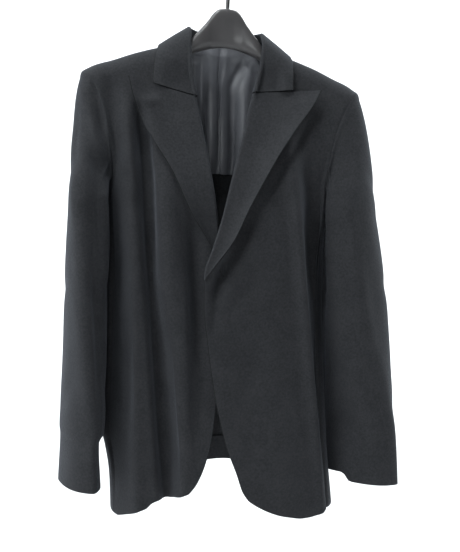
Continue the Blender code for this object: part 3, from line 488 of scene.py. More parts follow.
def front_point(side, across, up):
    """Front: across from its inner edge to its outer edge, up from the hem to the shoulder."""
    hem_table = HEMS[side]
    corner, neck = FRONT_EDGES[0].z, FRONT_EDGES[-1].z
    z_in = np.where(
        up < ARM_SHARE,
        corner + (UNDERARM_Z - corner) * up / ARM_SHARE,
        UNDERARM_Z + (neck - UNDERARM_Z) * upper_share(up),
    )
    x_in = along(FRONT_EDGES, "z", SIDE_NAMES[side], z_in)
    x_out, z_out = front_outer(side, up)
    z = z_in + (z_out - z_in) * across
    share = GUIDE_SHARE[side]
    x_guide = along(GUIDES, "z", SIDE_NAMES[side], z)
    within, beyond = across / share, (across - share) / (1 - share)
    x = np.where(across < share, x_in + (x_guide - x_in) * within, x_guide + (x_out - x_guide) * beyond)
    hem_flat = corner + (hem_table[-1].z - corner) * across
    z = z + (along(hem_table, "x", "z", side * x) - hem_flat) * hem_share(up)
    top_x = NECK_POINT[0] + (SHOULDER_TIP[0] - NECK_POINT[0]) * across
    top_flat = NECK_POINT[1] + (SHOULDER_TIP[1] - NECK_POINT[1]) * across
    z = z + (shoulder_z(top_x) - top_flat) * upper_share(up) ** 2
    return xyz(x, front_y(side, x, z), z)


def back_point(side, across, up):
    """Back: across from the centre seam to the side seam, up from the hem to the neck."""
    below = clamp(up / ARM_SHARE)
    hem = side_hem_z(side) + SIDE_HEM_RISE[side]
    z_side = hem + (UNDERARM_Z - hem) * below
    seam = armhole_point(side, 1 - (1 - BACK_SEAM_TURN) * (1 - above_arm(up)))
    x_out = np.where(up > ARM_SHARE, seam[..., 0], side_edges(side, z_side)[0])
    z_out = np.where(up > ARM_SHARE, seam[..., 2], z_side)
    z_middle = np.where(
        up < ARM_SHARE,
        CENTRE_BACK_HEM_Z + (UNDERARM_Z - CENTRE_BACK_HEM_Z) * below,
        UNDERARM_Z + (CENTRE_NECK_Z - UNDERARM_Z) * upper_share(up),
    )
    x = x_out * across
    z = z_middle + (z_out - z_middle) * across
    z = z - BACK_HEM_BOW * (across - across**2) * (across - 1) * 4 * hem_share(up)
    top_x = SHOULDER_TIP[0] * across
    neck_z = CENTRE_NECK_Z + (NECK_POINT[1] - CENTRE_NECK_Z) * ease(top_x / NECK_POINT[0])
    top_z = np.where(top_x < NECK_POINT[0], neck_z, shoulder_z(top_x))
    top_flat = CENTRE_NECK_Z + (SHOULDER_TIP[1] - CENTRE_NECK_Z) * across
    z = z + (top_z - top_flat) * upper_share(up) ** 2
    return xyz(x, back_y(side, x, z), z)


def ring_point(side, turn, z):
    """Point of the sleeve below the cap. Turn 0 is the outer side, 0.25 the front edge."""
    rings = SLEEVES[side]
    angle = 2 * pi * turn
    width = along(rings, "z", "width", z)
    depth = along(rings, "z", "depth", z)
    swing = np.radians(along(rings, "z", "turn", z))
    pinch = 1 - FRONT_PINCH * clamp(np.sin(angle)) ** 4
    fold = along(rings, "z", "fold", z) * bell((turn - SLEEVE_FOLD_TURN) / SLEEVE_FOLD_WIDTH)
    out = width * np.cos(angle) * pinch - fold
    ahead = depth * np.sin(angle)
    x = along(rings, "z", "x", z) + out * np.cos(swing) + ahead * np.sin(swing)
    y = along(rings, "z", "y", z) + out * np.sin(swing) - ahead * np.cos(swing)
    x = np.maximum(x, body_reach(side, y, z) + SLEEVE_CLEARANCE[side])
    return xyz(side * x, y, z + 0 * y)


def sleeve_point(side, turn, down):
    """Sleeve: turn round it from the shoulder tip forwards, down from the armhole to the hem."""
    turn = np.asarray(turn, float) % 1
    top, foot = SLEEVES[side][0].z, SLEEVES[side][-1].z
    start = armhole_point(side, turn)
    end = ring_point(side, turn, np.full(turn.shape, float(top)))
    reach = norm(end - start, axis=-1, keepdims=True)
    low = ease((0.5 - np.abs(turn - 0.5)) / CAP_LOW_SHARE)[..., None]
    leave = reach * (CAP_LEAVE_TOP + (CAP_LEAVE_LOW - CAP_LEAVE_TOP) * low) * (side, 1, 1)
    arrive = reach * CAP_ARRIVE[side] * (side, 1, 1)
    t = clamp(down / CAP_SHARE)[..., None]
    cap = curve_between(t, start, leave, end, arrive)
    below = clamp((down - CAP_SHARE) / (1 - CAP_SHARE))
    step = ease((turn - CUFF_STEP_TURN) / CUFF_STEP_WIDTH + 0.5)
    step = step * ease((CUFF_STEP_END - turn) / (CUFF_STEP_END - CUFF_STEP_TURN))
    low_share = clamp((below - CUFF_STEP_FROM) / (1 - CUFF_STEP_FROM))
    foot = foot + CUFF_STEP_RISE[side] * step * low_share
    z = top + (foot - top) * below
    return np.where((down <= CAP_SHARE)[..., None], cap, ring_point(side, turn, z))


def grid_normals(grid, out):
    """Unit normals of a grid, on the side that the vector out points to at its middle."""
    down, across = np.gradient(grid, axis=0), np.gradient(grid, axis=1)
    normal = np.cross(across, down)
    normal /= np.maximum(norm(normal, axis=-1, keepdims=True), TINY)
    middle = normal[grid.shape[0] // 2, grid.shape[1] // 2]
    return normal if np.dot(middle, out) > 0 else -normal


def steps(start, end, count):
    return np.linspace(start, end, count + 1)


def lapel_row(side, roll_z):
    """One row of a lapel: the return inside the front, the roll, and the leaf over the chest."""
    table = LAPELS[side]
    start = np.array([along(FRONT_EDGES, "z", SIDE_NAMES[side], roll_z), roll_z])
    edge = np.array([along(table, "roll_z", "edge_x", roll_z), along(table, "roll_z", "edge_z", roll_z)])
    lift = along(table, "roll_z", "lift", roll_z)
    across = edge - start
    length = norm(across)
    across = across / length
    middle_out = -WOOL_WALL / 2
    inside = middle_out - ROLL_RADIUS
    path = [
        (min(RETURN_REACH, RETURN_SHARE * length), inside),
        (RETURN_TURN_SHARE * min(RETURN_REACH, length), inside),
    ]
    for turn in ROLL_TURNS:
        path.append((ROLL_RADIUS * cos(radians(turn)), middle_out + ROLL_RADIUS * sin(radians(turn))))
    leaf = middle_out + ROLL_RADIUS
    path += [(length * share, leaf + lift * share**2) for share in LEAF_STEPS]
    row = []
    for reach, rise in path:
        x, z = start + across * reach
        row.append((x, front_y(side, x, z) - rise, z))
    return row


def collar_row(turn):
    """One row of the collar: up the stand, round the fold, and down the leaf."""
    side = LEFT if turn >= 0 else RIGHT
    share = abs(turn)

    def point(part):
        x, y, z = (along(COLLARS, "turn", part + axis, share) for axis in ("_x", "_y", "_z"))
        end = ease((share - COLLAR_END_FROM[side]) / (1 - COLLAR_END_FROM[side]))
        x, z = x + COLLAR_END_OUT[side][part] * end, z - COLLAR_END_DROP[side][part] * end
        return np.array([side * x, y, z])

    seam, fold, edge = point("seam"), point("fold"), point("edge")
    stand, leaf = seam - fold, edge - fold
    stand_way, leaf_way = stand / norm(stand), leaf / norm(leaf)
    up = -(stand_way + leaf_way)
    up /= norm(up)
    over = leaf_way - stand_way
    over -= up * np.dot(over, up)
    over /= norm(over)
    middle = fold - up * COLLAR_ROLL_RADIUS
    stand_top = middle - over * COLLAR_ROLL_RADIUS
    leaf_top = middle + over * COLLAR_ROLL_RADIUS
    row = [seam + (stand_top - seam) * step for step in COLLAR_STAND_STEPS]
    for angle in COLLAR_FOLD_TURNS:
        row.append(middle + COLLAR_ROLL_RADIUS * (over * cos(radians(angle)) + up * sin(radians(angle))))
    outward = np.cross(leaf_way, np.cross(up, leaf_way))
    for step in LEAF_STEPS:
        bow = COLLAR_BOW * sin(pi * step)
        row.append(leaf_top + (edge - leaf_top) * step + outward * bow)
    return row


def lining_point(side, across, up):
    """Half lining, in front of the back panel: across from the centre seam, up from its foot."""
    x = side * LINING_HALF_WIDTH * across
    foot = LINING_FOOT_Z + (LINING_SIDE_FOOT_Z - LINING_FOOT_Z) * across**2
    top = np.minimum(LINING_TOP_Z, shoulder_z(x) - BACK_ROLL)
    z = foot + (top - foot) * up
    folds = fold_rise(LININGS, side, x, z) * ease(across / LINING_SEAM_SHARE)
    loose = LINING_STAND + folds * clamp(LINING_LOOSE_SLOPE * up + LINING_LOOSE_FOOT)
    clear = np.maximum(loose * ease(LINING_HELD_TOP - up), LINING_CLEARANCE)
    return xyz(x, back_y(side, x, z) - WOOL_WALL - clear, z)


def turn_up_point(side, across, up):
    """Hem of the back, turned up inside it."""
    hem = back_point(side, across, np.zeros_like(across))
    z = hem[..., 2] + TURN_UP_HEIGHT * up
    y = back_y(side, hem[..., 0], z) - WOOL_WALL - TURN_UP_CLEARANCE
    return xyz(hem[..., 0], y, z)


def hook_route():
    """Middle of the hook's rod: the stem, a sweep out to one side, and the bow over the top."""
    middle_z = HOOK_RADIUS - HOOK_BOW
    route = [(0, HOOK_STEM_FOOT), (0, HOOK_STEM_TOP - HOOK_NECK)]
    start, end = np.array([0, HOOK_STEM_TOP]), np.array([HOOK_BOW, middle_z])
    for t in steps(0, 1, HOOK_SWEEP_STEPS)[:-1]:
        route.append(tuple(curve_between(t, start, HOOK_LEAVE, end, HOOK_ARRIVE)))
    for angle in np.linspace(0, radians(HOOK_TIP_TURN), HOOK_BOW_POINTS):
        route.append((HOOK_BOW * cos(angle), middle_z + HOOK_BOW * sin(angle)))
    return route


# Grids of the cloth: columns, then rows below and above the underarm
FINE_FRONT = (100, 110, 70)
FINE_BACK = (76, 100, 60)
FINE_SIDE = (24, 100)
# Columns of the upper and of the under sleeve, and the rows of both
FINE_SLEEVE = (72, 40, 120)
FINE_LAPEL = 110
FINE_COLLAR = 150
# Columns and rows of the half lining, and rows of the turned-up hem
FINE_LINING = (60, 80, 16)
EDGE_CROWDING, HEM_CROWDING = 0.75, 0.4

# Thickness of each shell, and the angle from which an edge of a mesh is sharp
SHELL, LAPEL_SHELL, LINING_SHELL = 1.6, 2.0, 0.6
CLOTH_SHARP = 55
RIM_ROUND = 0.55

# Each edge of a grid, and the line of points next to it
ALL = slice(None)
GRID_EDGES = {
    "first_row": ((0, ALL), (1, ALL)),
    "last_row": ((-1, ALL), (-2, ALL)),
    "first_column": ((ALL, 0), (ALL, 1)),
    "last_column": ((ALL, -1), (ALL, -2)),
}

# How deep the seams sink, how wide the dent is, and how far off the creases start
SIDE_SEAM, ARM_SEAM, CENTRE_SEAM, SLEEVE_SEAM, CAP_SEAM, TURN_UP_SEAM = 0.12, 0.25, 0.3, 0.08, 0.3, 0.2
SEAM_DENT, SEAM_CALM = 1.1, 5.0

# The soft roll that stands up round the sleeve's cap
ROPE_RISE, ROPE_REACH = 1.3, 7.0

# Unevenness: less of it where the cloth turns away from the viewer
OUTLINE_CALM, OUTLINE_FACING = 0.3, 2.2
UNEVEN_RISE = 1.3
UNEVEN_GRAIN = (0.016, 0.020, 0.0065)
UNEVEN_SEED = (3.1, 7.7, 1.9)

# Creases, in the view where they are seen: a line across (x or y) and up (z), how far it bows,
# how wide it is, how far it rises (a trough is negative), and its width on the far side
Crease = namedtuple("Crease", "view a_top z_top a_foot z_foot bow width rise far", defaults=(None,))


def seen_from(view, *rows):
    return tuple(Crease(view, *row) for row in rows)


CREASES = {
    "front_right": seen_from(
        "front",
        (-96, -230, -84, -500, -2, 20, 3.6, 16), (-72, -400, -66, -800, 0, 24, 5.0, 10),
        (-89, -470, -83, -850, 0, 14, -7.0), (-119, -215, -113, -520, -2, 8, -6.5, 6),
        (-168, -160, -163, -345, 0, 13, -8.0), (-112, -480, -92, -810, -2, 8, -5.0, 15),
        (-168, -330, -163, -830, 0, 14, -10.0, 26), (-54, -350, -42, -640, 0, 11, -10.0),
        (-150, -300, -122, -392, 4, 8, -2.2), (-104, -250, -128, -330, -5, 9, 1.6),
        (-148, -520, -160, -800, 3, 9, -2.0), (-34, -560, -46, -740, 4, 9, -1.6),
    ),
    "front_left": seen_from(
        "front",
        (14, -456, -36, -528, 3, 6, 3.4), (40, -345, -36, -515, 0, 12, -12.0),
        (-9, -425, -32, -560, 0, 9, -8.0), (142, -198, 40, -372, 0, 7, -3.5),
        (138, -225, 150, -520, 0, 22, -5.0, 12), (30, -470, -20, -545, 4, 8, -2.4),
        (96, -380, 146, -800, 2, 7, 3.0, 6), (112, -330, 152, -760, 2, 7, -5.0),
        (60, -528, 15, -668, 6, 17, -3.4), (70, -350, 102, -520, 8, 15, 1.6),
        (128, -330, 140, -520, 4, 10, -2.4), (40, -640, 78, -800, -8, 20, 1.8),
        (133, -255, 112, -335, 4, 8, -1.6),
    ),
    "sleeve_right": seen_from(
        "front",
        (-204, -230, -212, -440, 0, 17, 10.0, 13), (-213, -380, -200, -720, 0, 17, 9.0, 13),
        (-199, -400, -192, -740, 0, 7, -4.0), (-190, -172, -178, -290, 0, 9, -5.0),
        (-217, -215, -213, -345, 0, 6, -4.0), (-208, -196, -196, -250, 2, 5, 2.6),
        (-198, -205, -175, -330, 4, 7, 3.0), (-175, -320, -180, -520, -3, 7, 2.4),
        (-193, -184, -182, -214, 1, 4, -3.0), (-206, -235, -190, -340, 3, 8, -2.8),
        (-226, -430, -196, -520, 5, 10, -1.8),
    ) + seen_from(
        "side",
        (-50, -300, 10, -380, 8, 13, -2.2), (-60, -470, 20, -540, -8, 14, -2.0),
        (-66, -600, 5, -690, 10, 15, -1.8),
    ) + seen_from(
        "back",
        (-205, -250, -188, -360, 4, 9, -2.4), (-215, -400, -195, -500, -4, 10, 1.8),
    ),
    "sleeve_left": seen_from(
        "front",
        (177, -190, 168, -210, 1, 4, -2.2), (200, -235, 226, -470, 6, 13, 2.2),
        (186, -240, 168, -350, -4, 9, -2.6), (215, -420, 240, -640, 5, 13, -2.2),
        (176, -400, 196, -600, -5, 12, 1.8), (200, -640, 176, -740, 4, 11, -1.8),
    ) + seen_from(
        "side",
        (-42, -500, -42, -760, 0, 18, 1.3), (-55, -280, 12, -350, 8, 13, -2.0),
        (-60, -450, 15, -530, -9, 15, -2.0), (-70, -620, -5, -700, 9, 15, -1.6),
    ) + seen_from(
        "back",
        (206, -260, 186, -360, -4, 9, -2.2), (220, -430, 196, -520, 4, 10, -1.8),
    ),
    "back_left": seen_from(
        "back",
        (160, -250, 118, -330, 6, 11, -2.4), (64, -170, 96, -330, 8, 16, 1.8),
        (40, -420, 22, -620, 4, 15, -2.2), (118, -480, 100, -700, -5, 13, 2.0),
        (70, -600, 62, -800, 3, 14, -1.8),
    ),
    "back_right": seen_from(
        "back",
        (-164, -244, -124, -330, -6, 11, -2.6), (-58, -180, -88, -330, -8, 17, 1.6),
        (-34, -450, -20, -640, -4, 14, -2.0), (-112, -470, -92, -690, 5, 13, 1.8),
        (-78, -610, -84, -800, -3, 13, -2.0),
    ),
    "side_left": seen_from(
        "side",
        (-14, -480, -14, -760, 0, 26, 1.8), (-12, -345, -6, -560, 3, 10, -1.8),
        (10, -540, 2, -790, -3, 10, 1.4),
    ),
    "side_right": seen_from(
        "side",
        (-10, -340, -4, -520, 3, 10, -1.6), (8, -560, 0, -790, -3, 10, 1.6),
    ),
    "lapel_right": seen_from(
        "front",
        (-134, -216, -92, -212, 2, 7, 3.2), (-126, -240, -116, -268, 2, 6, 1.8),
        (-70, -230, -40, -350, 5, 13, 1.2),
    ),
    "lapel_left": seen_from(
        "front",
        (118, -215, 60, -300, 5, 12, 1.2), (52, -225, 20, -350, -4, 13, -1.2),
    ),
    "lining": seen_from(
        "front",
        (6, -96, 6, -420, 0, 62, 9.0), (-16, -96, -14, -400, 0, 6, 4.0),
        (-31, -100, -22, -400, 0, 6, -8.5), (-2, -96, -10, -400, 0, 2.5, -5.0),
        (7, -96, 2, -400, 0, 5, 3.0), (40, -128, 10, -190, 2, 5, -4.0),
        (14, -140, 21, -400, 0, 7.5, -9.5), (38, -140, 34, -400, 0, 6, 4.0),
        (48, -112, 40, -200, 0, 6, 3.0),
    ),
    "collar": seen_from(
        "front",
        (82, -135, 70, -180, 2, 8, -1.0), (-84, -138, -70, -190, 2, 8, 1.0),
    ) + seen_from(
        "back",
        (-50, -104, -58, -140, 2, 9, -0.8), (24, -104, 20, -146, 2, 10, 0.8),
    ),
}
CREASE_HEAD, CREASE_TAIL = 0.3, 0.4
CREASE_FACING, CREASE_SPILL = 2, 0.2

# Finishes: pitch, turn and depth of the weaves in metres, and the colours from dark to light
TWILL_PITCH, TWILL_TURN, TWILL_DEPTH = 0.0009, radians(27), 0.00006
WARP_PITCH = 0.0004
WOOL_DARK, WOOL_LIGHT = (0.0158, 0.0165, 0.0188), (0.0276, 0.0284, 0.0312)
# The rim faces of the cloth get a darker wool without sheen: painted shade along the edges
WOOL_SHEEN, EDGE_SHEEN, EDGE_PAINTED_SHADE = 0.10, 0.0, 0.45
SATIN_SHADES = (0.100, 0.104, 0.116), (0.165, 0.170, 0.188)
PLASTIC_SHADES = (0.050, 0.049, 0.050), (0.074, 0.070, 0.072)
RUBBED_EDGE = (0.095, 0.090, 0.088)
STEEL_SHADES = (0.045, 0.045, 0.047), (0.12, 0.118, 0.116)

# The room in metres: a pale floor that sweeps up far behind, soft light, and the photo's camera
FLOOR_Z, SWEEP_Y, SWEEP_RADIUS, WALL_TOP, ROOM_HALF = -1.06, 4.6, 0.8, 3.4, 5.0
ROOM_FRONT_Y, SWEEP_STEPS = -5.0, 16
FLOOR_COLOUR = (0.80, 0.80, 0.81)
CAMERA_PLACE = (-0.1957, -1.2346, -0.3573)
CAMERA_YAW, CAMERA_PITCH, CAMERA_LENS = radians(-9), radians(-5), 64.08

# Soft lights: place, aim, width and height, watts
LIGHTS = (
    ("left_front", (-2.1, -1.3, 0.55), (0, 0, -0.4), (1.2, 1.6), 30),
    ("left_high", (-1.5, -1.7, 1.2), (0, 0, -0.35), (0.6, 0.6), 15),
    ("left_side", (-2.6, 0.15, -0.1), (0, 0, -0.45), (1.2, 2.2), 25),
    ("front", (-0.5, -2.6, -0.1), (0, 0, -0.35), (0.5, 0.5), 10),
    ("top", (-0.5, -0.6, 2.0), (0, 0, -0.4), (0.7, 0.7), 32),
    ("window_right", (2.6, 0.15, -0.1), (0, 0, -0.45), (1.2, 2.2), 43),
    ("low_right", (1.8, -1.6, -1.0), (0, 0, -0.6), (1.2, 0.6), 4),
    ("wall", (0, 0.2, 1.9), (0, 1.3, -0.2), (3.0, 0.6), 34),
    ("far_wall", (0.9, 2.3, 2.4), (0.9, 4.4, -0.6), (5.0, 0.8), 250),
)
LIGHT_COLOUR = (0.94, 0.985, 1.0)
WORLD_COLOUR, WORLD_LIGHT = (0.86, 0.90, 0.96), 0.03


def crease_height(crease, across, height):
    """How far one crease lifts the cloth at these places of its view."""
    step_a, step_z = crease.a_foot - crease.a_top, crease.z_foot - crease.z_top
    length = np.hypot(step_a, step_z)
    share = ((across - crease.a_top) * step_a + (height - crease.z_top) * step_z) / length**2
    held = clamp(share)
    off = ((across - crease.a_top) * step_z - (height - crease.z_top) * step_a) / length
    off = off - crease.bow * 4 * held * (1 - held)
    taper = ease(share / CREASE_HEAD) * ease((1 - share) / CREASE_TAIL)
    width = np.where(off < 0, crease.far or crease.width, crease.width)
    return crease.rise * taper * bell(off / width)


def creased(points, normals, creases):
    rise = np.zeros(points.shape[:2])
    for crease in creases:
        if crease.view == "side":
            across, facing = points[..., 1], np.abs(normals[..., 0])
        else:
            turned = -1 if crease.view == "front" else 1
            across, facing = points[..., 0], turned * normals[..., 1]
        seen = ease(CREASE_FACING * facing + CREASE_SPILL)
        rise += crease_height(crease, across, points[..., 2]) * seen
    return rise


def uneven(points):
    """The soft unevenness of hanging cloth, longer up and down than across."""
    flat = (points * np.array(UNEVEN_GRAIN)).reshape(-1, 3) + np.array(UNEVEN_SEED)
    return np.array([noise.noise(Vector(place)) for place in flat]).reshape(points.shape[:2])


def edge_distance(grid, edge):
    """How far along the cloth each point is from one edge of its grid."""
    axis = 0 if edge in ("first_row", "last_row") else 1
    gap = norm(np.diff(grid, axis=axis), axis=-1)
    start = np.zeros_like(np.take(gap, [0], axis=axis))
    reach = np.concatenate([start, np.cumsum(gap, axis=axis)], axis=axis)
    if edge.startswith("last"):
        reach = np.take(reach, [-1], axis=axis) - reach
    return reach


def crowded(count):
    """Steps from 0 to 1 that lie closer together near both ends."""
    t = steps(0, 1, count)
    return t - EDGE_CROWDING * np.sin(2 * pi * t) / (2 * pi)


def surface_grid(surface, side, across, rows):
    columns, heights = np.meshgrid(across, rows)
    return surface(side, columns, heights)


def raised(grid, out, seams, creases, rope, unevenness):
    """The outer face: creases and unevenness that fade out towards the sunk seams."""
    normals = grid_normals(grid, out)
    calm, sink = np.ones(grid.shape[:2]), np.zeros(grid.shape[:2])
    for edge, depth in seams.items():
        far = edge_distance(grid, edge)
        calm = calm * ease(far / SEAM_CALM)
        sink = sink - depth * bell(far / SEAM_DENT)
    if rope:
        far = edge_distance(grid, rope)
        sink = sink + ROPE_RISE * ease(far / ROPE_REACH * 2) * ease((2 * ROPE_REACH - far) / ROPE_REACH)
    steady = OUTLINE_CALM + (1 - OUTLINE_CALM) * ease(OUTLINE_FACING * np.abs(normals[..., 1]))
    rise = creased(grid, normals, creases) + unevenness * UNEVEN_RISE * uneven(grid) * steady
    return grid + normals * (rise * calm + sink)[..., None]


def edge_ways(grid, free):
    """Unit steps that lead out of the cloth along its free edges."""
    ways = np.zeros_like(grid)
    for edge in free:
        last, near = GRID_EDGES[edge]
        way = grid[last] - grid[near]
        ways[last] += way / np.maximum(norm(way, axis=-1, keepdims=True), TINY)
    return ways


def add_object(name, data):
    piece = bpy.data.objects.new(name, data)
    bpy.context.scene.collection.objects.link(piece)
    return piece


def new_mesh(name, points, faces, materials, sharp_angle=None):
    mesh = bpy.data.meshes.new(name)
    mesh.from_pydata(points, [], faces)
    mesh.shade_smooth()
    if sharp_angle:
        mesh.set_sharp_from_angle(angle=radians(sharp_angle))
    for material in materials:
        mesh.materials.append(material)
    return mesh


def cloth(
    name, grid, out, finish, seams=None, free=(), creases=(), rope=None, thickness=SHELL, unevenness=1.0
):
    """A thin shell of cloth with rounded free edges, its rim faces in the second finish: painted shade."""
    outer = raised(grid, out, seams or {}, creases, rope, unevenness)
    inner = outer - grid_normals(outer, out) * thickness
    rows, columns = grid.shape[:2]
    count = rows * columns
    at = np.arange(count).reshape(rows, columns)
    quads = np.stack([at[:-1, :-1], at[:-1, 1:], at[1:, 1:], at[1:, :-1]], axis=-1).reshape(-1, 4)
    rim = np.concatenate([at[0, :], at[1:, -1], at[-1, -2::-1], at[-2:0:-1, 0]])
    flat_outer, flat_inner, ways = (part.reshape(-1, 3) for part in (outer, inner, edge_ways(grid, free)))
    middle = (flat_outer[rim] + flat_inner[rim]) / 2 + ways[rim] * thickness * RIM_ROUND
    points = np.concatenate([flat_outer, flat_inner, middle])
    ring = 2 * count + np.arange(len(rim))
    after, ring_after = np.roll(rim, -1), np.roll(ring, -1)
    faces = [
        quads,
        quads[:, ::-1] + count,
        np.stack([after, rim, ring, ring_after], axis=-1),
        np.stack([ring_after, ring, rim + count, after + count], axis=-1),
    ]
    faces = np.concatenate(faces)
    sides = flat_outer[quads[:, 1:3].T] - flat_outer[quads[:, 0]]
    if np.dot(np.cross(*sides)[len(quads) // 2], np.array(out)) < 0:
        faces = faces[:, ::-1]
    mesh = new_mesh(name, hang(points).tolist(), faces.tolist(), finish, CLOTH_SHARP)
    arc = edge_distance(grid, "first_column") + grid[:, :1, 0]
    weave = np.stack([arc, grid[..., 2]], axis=-1).reshape(-1, 2)
    weave = np.concatenate([weave, weave, weave[rim]]) * MM
    layer = mesh.uv_layers.new(name="weave")
    corner = np.empty(len(mesh.loops), dtype=np.int32)
    mesh.loops.foreach_get("vertex_index", corner)
    layer.data.foreach_set("uv", weave[corner].astype(np.float32).ravel())
    # Both faces take the first finish; the rim faces take the second, painted shade along the edges
    kinds = np.ones(len(faces), dtype=np.int32)
    kinds[: 2 * len(quads)] = 0
    mesh.polygons.foreach_set("material_index", kinds)
    piece = add_object(name, mesh)
    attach(piece, "root")
    return piece, outer


def declare(outer, nodes):
    """Hides the piece's solids, and works out the size of the cloth that it is made of."""
    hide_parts(*nodes)
    across, up = np.diff(outer, axis=1), np.diff(outer, axis=0)
    width = norm(across, axis=-1).sum(axis=1).max() * MM
    length = norm(up, axis=-1).sum(axis=0).max() * MM
    halves = np.cross(across[:-1], up[:, :-1]), np.cross(across[1:], up[:, 1:])
    area = sum(norm(half, axis=-1) for half in halves).sum() / 2
    area = min(area * MM * MM, width * length)


def new_material(name):
    material = bpy.data.materials.new(name)
    material.use_nodes = True
    return material, material.node_tree


def add_node(tree, kind, feeds=(), **values):
    """A node with its values set and its inputs fed from other nodes."""
    node = tree.nodes.new(kind)
    for key, value in values.items():
        if key in node.inputs:
            node.inputs[key].default_value = value
        else:
            setattr(node, key, value)
    for socket, source in feeds:
        tree.links.new(source, node.inputs[socket])
    return node


def finish_shader(tree, sockets):
    """Sets each named socket of the shader, or links it where the value comes from a node."""
    inputs = tree.nodes["Principled BSDF"].inputs
    for name, value in sockets.items():
        if isinstance(value, bpy.types.NodeSocket):
            tree.links.new(value, inputs[name])
        else:
            inputs[name].default_value = value


def grain(tree, scale, detail, roughness=0.5):
    """Uneven grain that keeps its place on the object."""
    place = add_node(tree, "ShaderNodeTexCoord").outputs["Object"]
    values = {"Scale": scale, "Detail": detail, "Roughness": roughness}
    return add_node(tree, "ShaderNodeTexNoise", [("Vector", place)], **values).outputs["Fac"]


def threads(tree, turn, pitch, **values):
    """The lines of a weave, turned, one thread for each pitch of the weave map."""
    place = add_node(tree, "ShaderNodeUVMap", uv_map="weave").outputs["UV"]
    scale = (1 / pitch, 1 / pitch, 1)
    mapping = add_node(tree, "ShaderNodeMapping", [("Vector", place)], Rotation=(0, 0, turn), Scale=scale)
    lines = {"wave_type": "BANDS", "bands_direction": "X", "wave_profile": "SIN", "Scale": 0.5}
    feeds = [("Vector", mapping.outputs["Vector"])]
    return add_node(tree, "ShaderNodeTexWave", feeds, **lines, **values).outputs["Fac"]


def shades(tree, factor, dark, light, low=0.0, high=1.0):
    """Colours from dark to light while the factor goes from low to high."""
    ramp = add_node(tree, "ShaderNodeValToRGB", [("Fac", factor)])
    first, last = ramp.color_ramp.elements
    first.color, last.color = (*dark, 1), (*light, 1)
    first.position, last.position = low, high
    return ramp.outputs["Color"]


def spread(tree, factor, **ends):
    """The factor brought from one range into another."""
    named = {key.replace("_", " ").title(): value for key, value in ends.items()}
    return add_node(tree, "ShaderNodeMapRange", [("Value", factor)], **named).outputs["Result"]


def bumped(tree, height, distance, strength, under=None):
    """A bump of this height, on top of another where one is given."""
    feeds = [("Height", height)] + ([] if under is None else [("Normal", under)])
    return add_node(tree, "ShaderNodeBump", feeds, Distance=distance, Strength=strength).outputs["Normal"]


def wool_material(name, shade=1.0, sheen=WOOL_SHEEN):
    """Fine worsted twill: slanted ribs, uneven yarn and a soft nap."""
    # A shade below 1 darkens both colours: painted shade for the rim faces
    dark, light = (tuple(part * shade for part in colour) for colour in (WOOL_DARK, WOOL_LIGHT))
    material, tree = new_material(name)
    ribs = threads(tree, TWILL_TURN, TWILL_PITCH, Distortion=0.6, Detail=1)
    cloud, yarn = grain(tree, 28, 5, 0.65), grain(tree, 330, 4, 0.6)
    blend = add_node(tree, "ShaderNodeMix", [(2, cloud), (3, yarn)], data_type="FLOAT", Factor=0.62)
    soft = bumped(tree, grain(tree, 60, 3), 0.0006, 0.35)
    fuzz = bumped(tree, yarn, 0.0001, 0.35, soft)
    sockets = {
        "Base Color": shades(tree, blend.outputs[0], dark, light, 0.40, 0.62),
        "Roughness": spread(tree, cloud, to_min=0.78, to_max=0.94),
        "Specular IOR Level": 0.22,
        "Sheen Weight": sheen,
        "Sheen Roughness": 0.45,
        "Sheen Tint": (0.80, 0.86, 1.0, 1),
        "Normal": bumped(tree, ribs, TWILL_DEPTH, 0.7, fuzz),
    }
    finish_shader(tree, sockets)
    return material


def satin_material():
    """Smooth lining: fine warp lines, a cool gloss and faint pressed creases."""
    material, tree = new_material("satin_lining")
    warp = threads(tree, 0, WARP_PITCH, Distortion=0.3)
    cloud = grain(tree, 30, 4, 0.6)
    soft = bumped(tree, cloud, 0.0010, 0.4)
    sockets = {
        "Base Color": shades(tree, cloud, *SATIN_SHADES),
        "Roughness": spread(tree, cloud, to_min=0.30, to_max=0.46),
        "Sheen Weight": 0.25,
        "Sheen Roughness": 0.3,
        "Sheen Tint": (0.85, 0.88, 1.0, 1),
        "Normal": bumped(tree, warp, 0.00003, 0.5, soft),
    }
    finish_shader(tree, sockets)
    return material


def plastic_material():
    """Moulded hanger: fine orange peel and rubbed edges."""
    material, tree = new_material("moulded_plastic")
    cloud = grain(tree, 28, 6, 0.65)
    corner = add_node(tree, "ShaderNodeNewGeometry").outputs["Pointiness"]
    edge = spread(tree, corner, from_min=0.52, from_max=0.60)
    feeds = [("Factor", edge), (6, shades(tree, cloud, *PLASTIC_SHADES))]
    rub = add_node(tree, "ShaderNodeMix", feeds, data_type="RGBA")
    rub.inputs[7].default_value = (*RUBBED_EDGE, 1)
    sockets = {
        "Base Color": rub.outputs[2],
        "Roughness": spread(tree, cloud, to_min=0.26, to_max=0.40),
        "Normal": bumped(tree, grain(tree, 700, 2), 0.00008, 0.35),
    }
    finish_shader(tree, sockets)
    return material


def steel_material():
    """Dull wire: uneven tone and roughness, and small rubbed spots."""
    material, tree = new_material("hook_wire")
    cloud = grain(tree, 160, 5, 0.7)
    sockets = {
        "Base Color": shades(tree, cloud, *STEEL_SHADES),
        "Roughness": spread(tree, cloud, to_min=0.24, to_max=0.48),
        "Metallic": 1.0,
        "Normal": bumped(tree, cloud, 0.00006, 0.3),
    }
    finish_shader(tree, sockets)
    return material


def body_rows(below, above):
    """Rows of a front or a back, closer together near the hem."""
    t = steps(0, 1, below)
    low = ARM_SHARE * (1 - (np.sin(t * pi / 2) * HEM_CROWDING + t * (1 - HEM_CROWDING)))
    return np.concatenate([np.sort(low), (ARM_SHARE + (1 - ARM_SHARE) * steps(0, 1, above))[1:]])


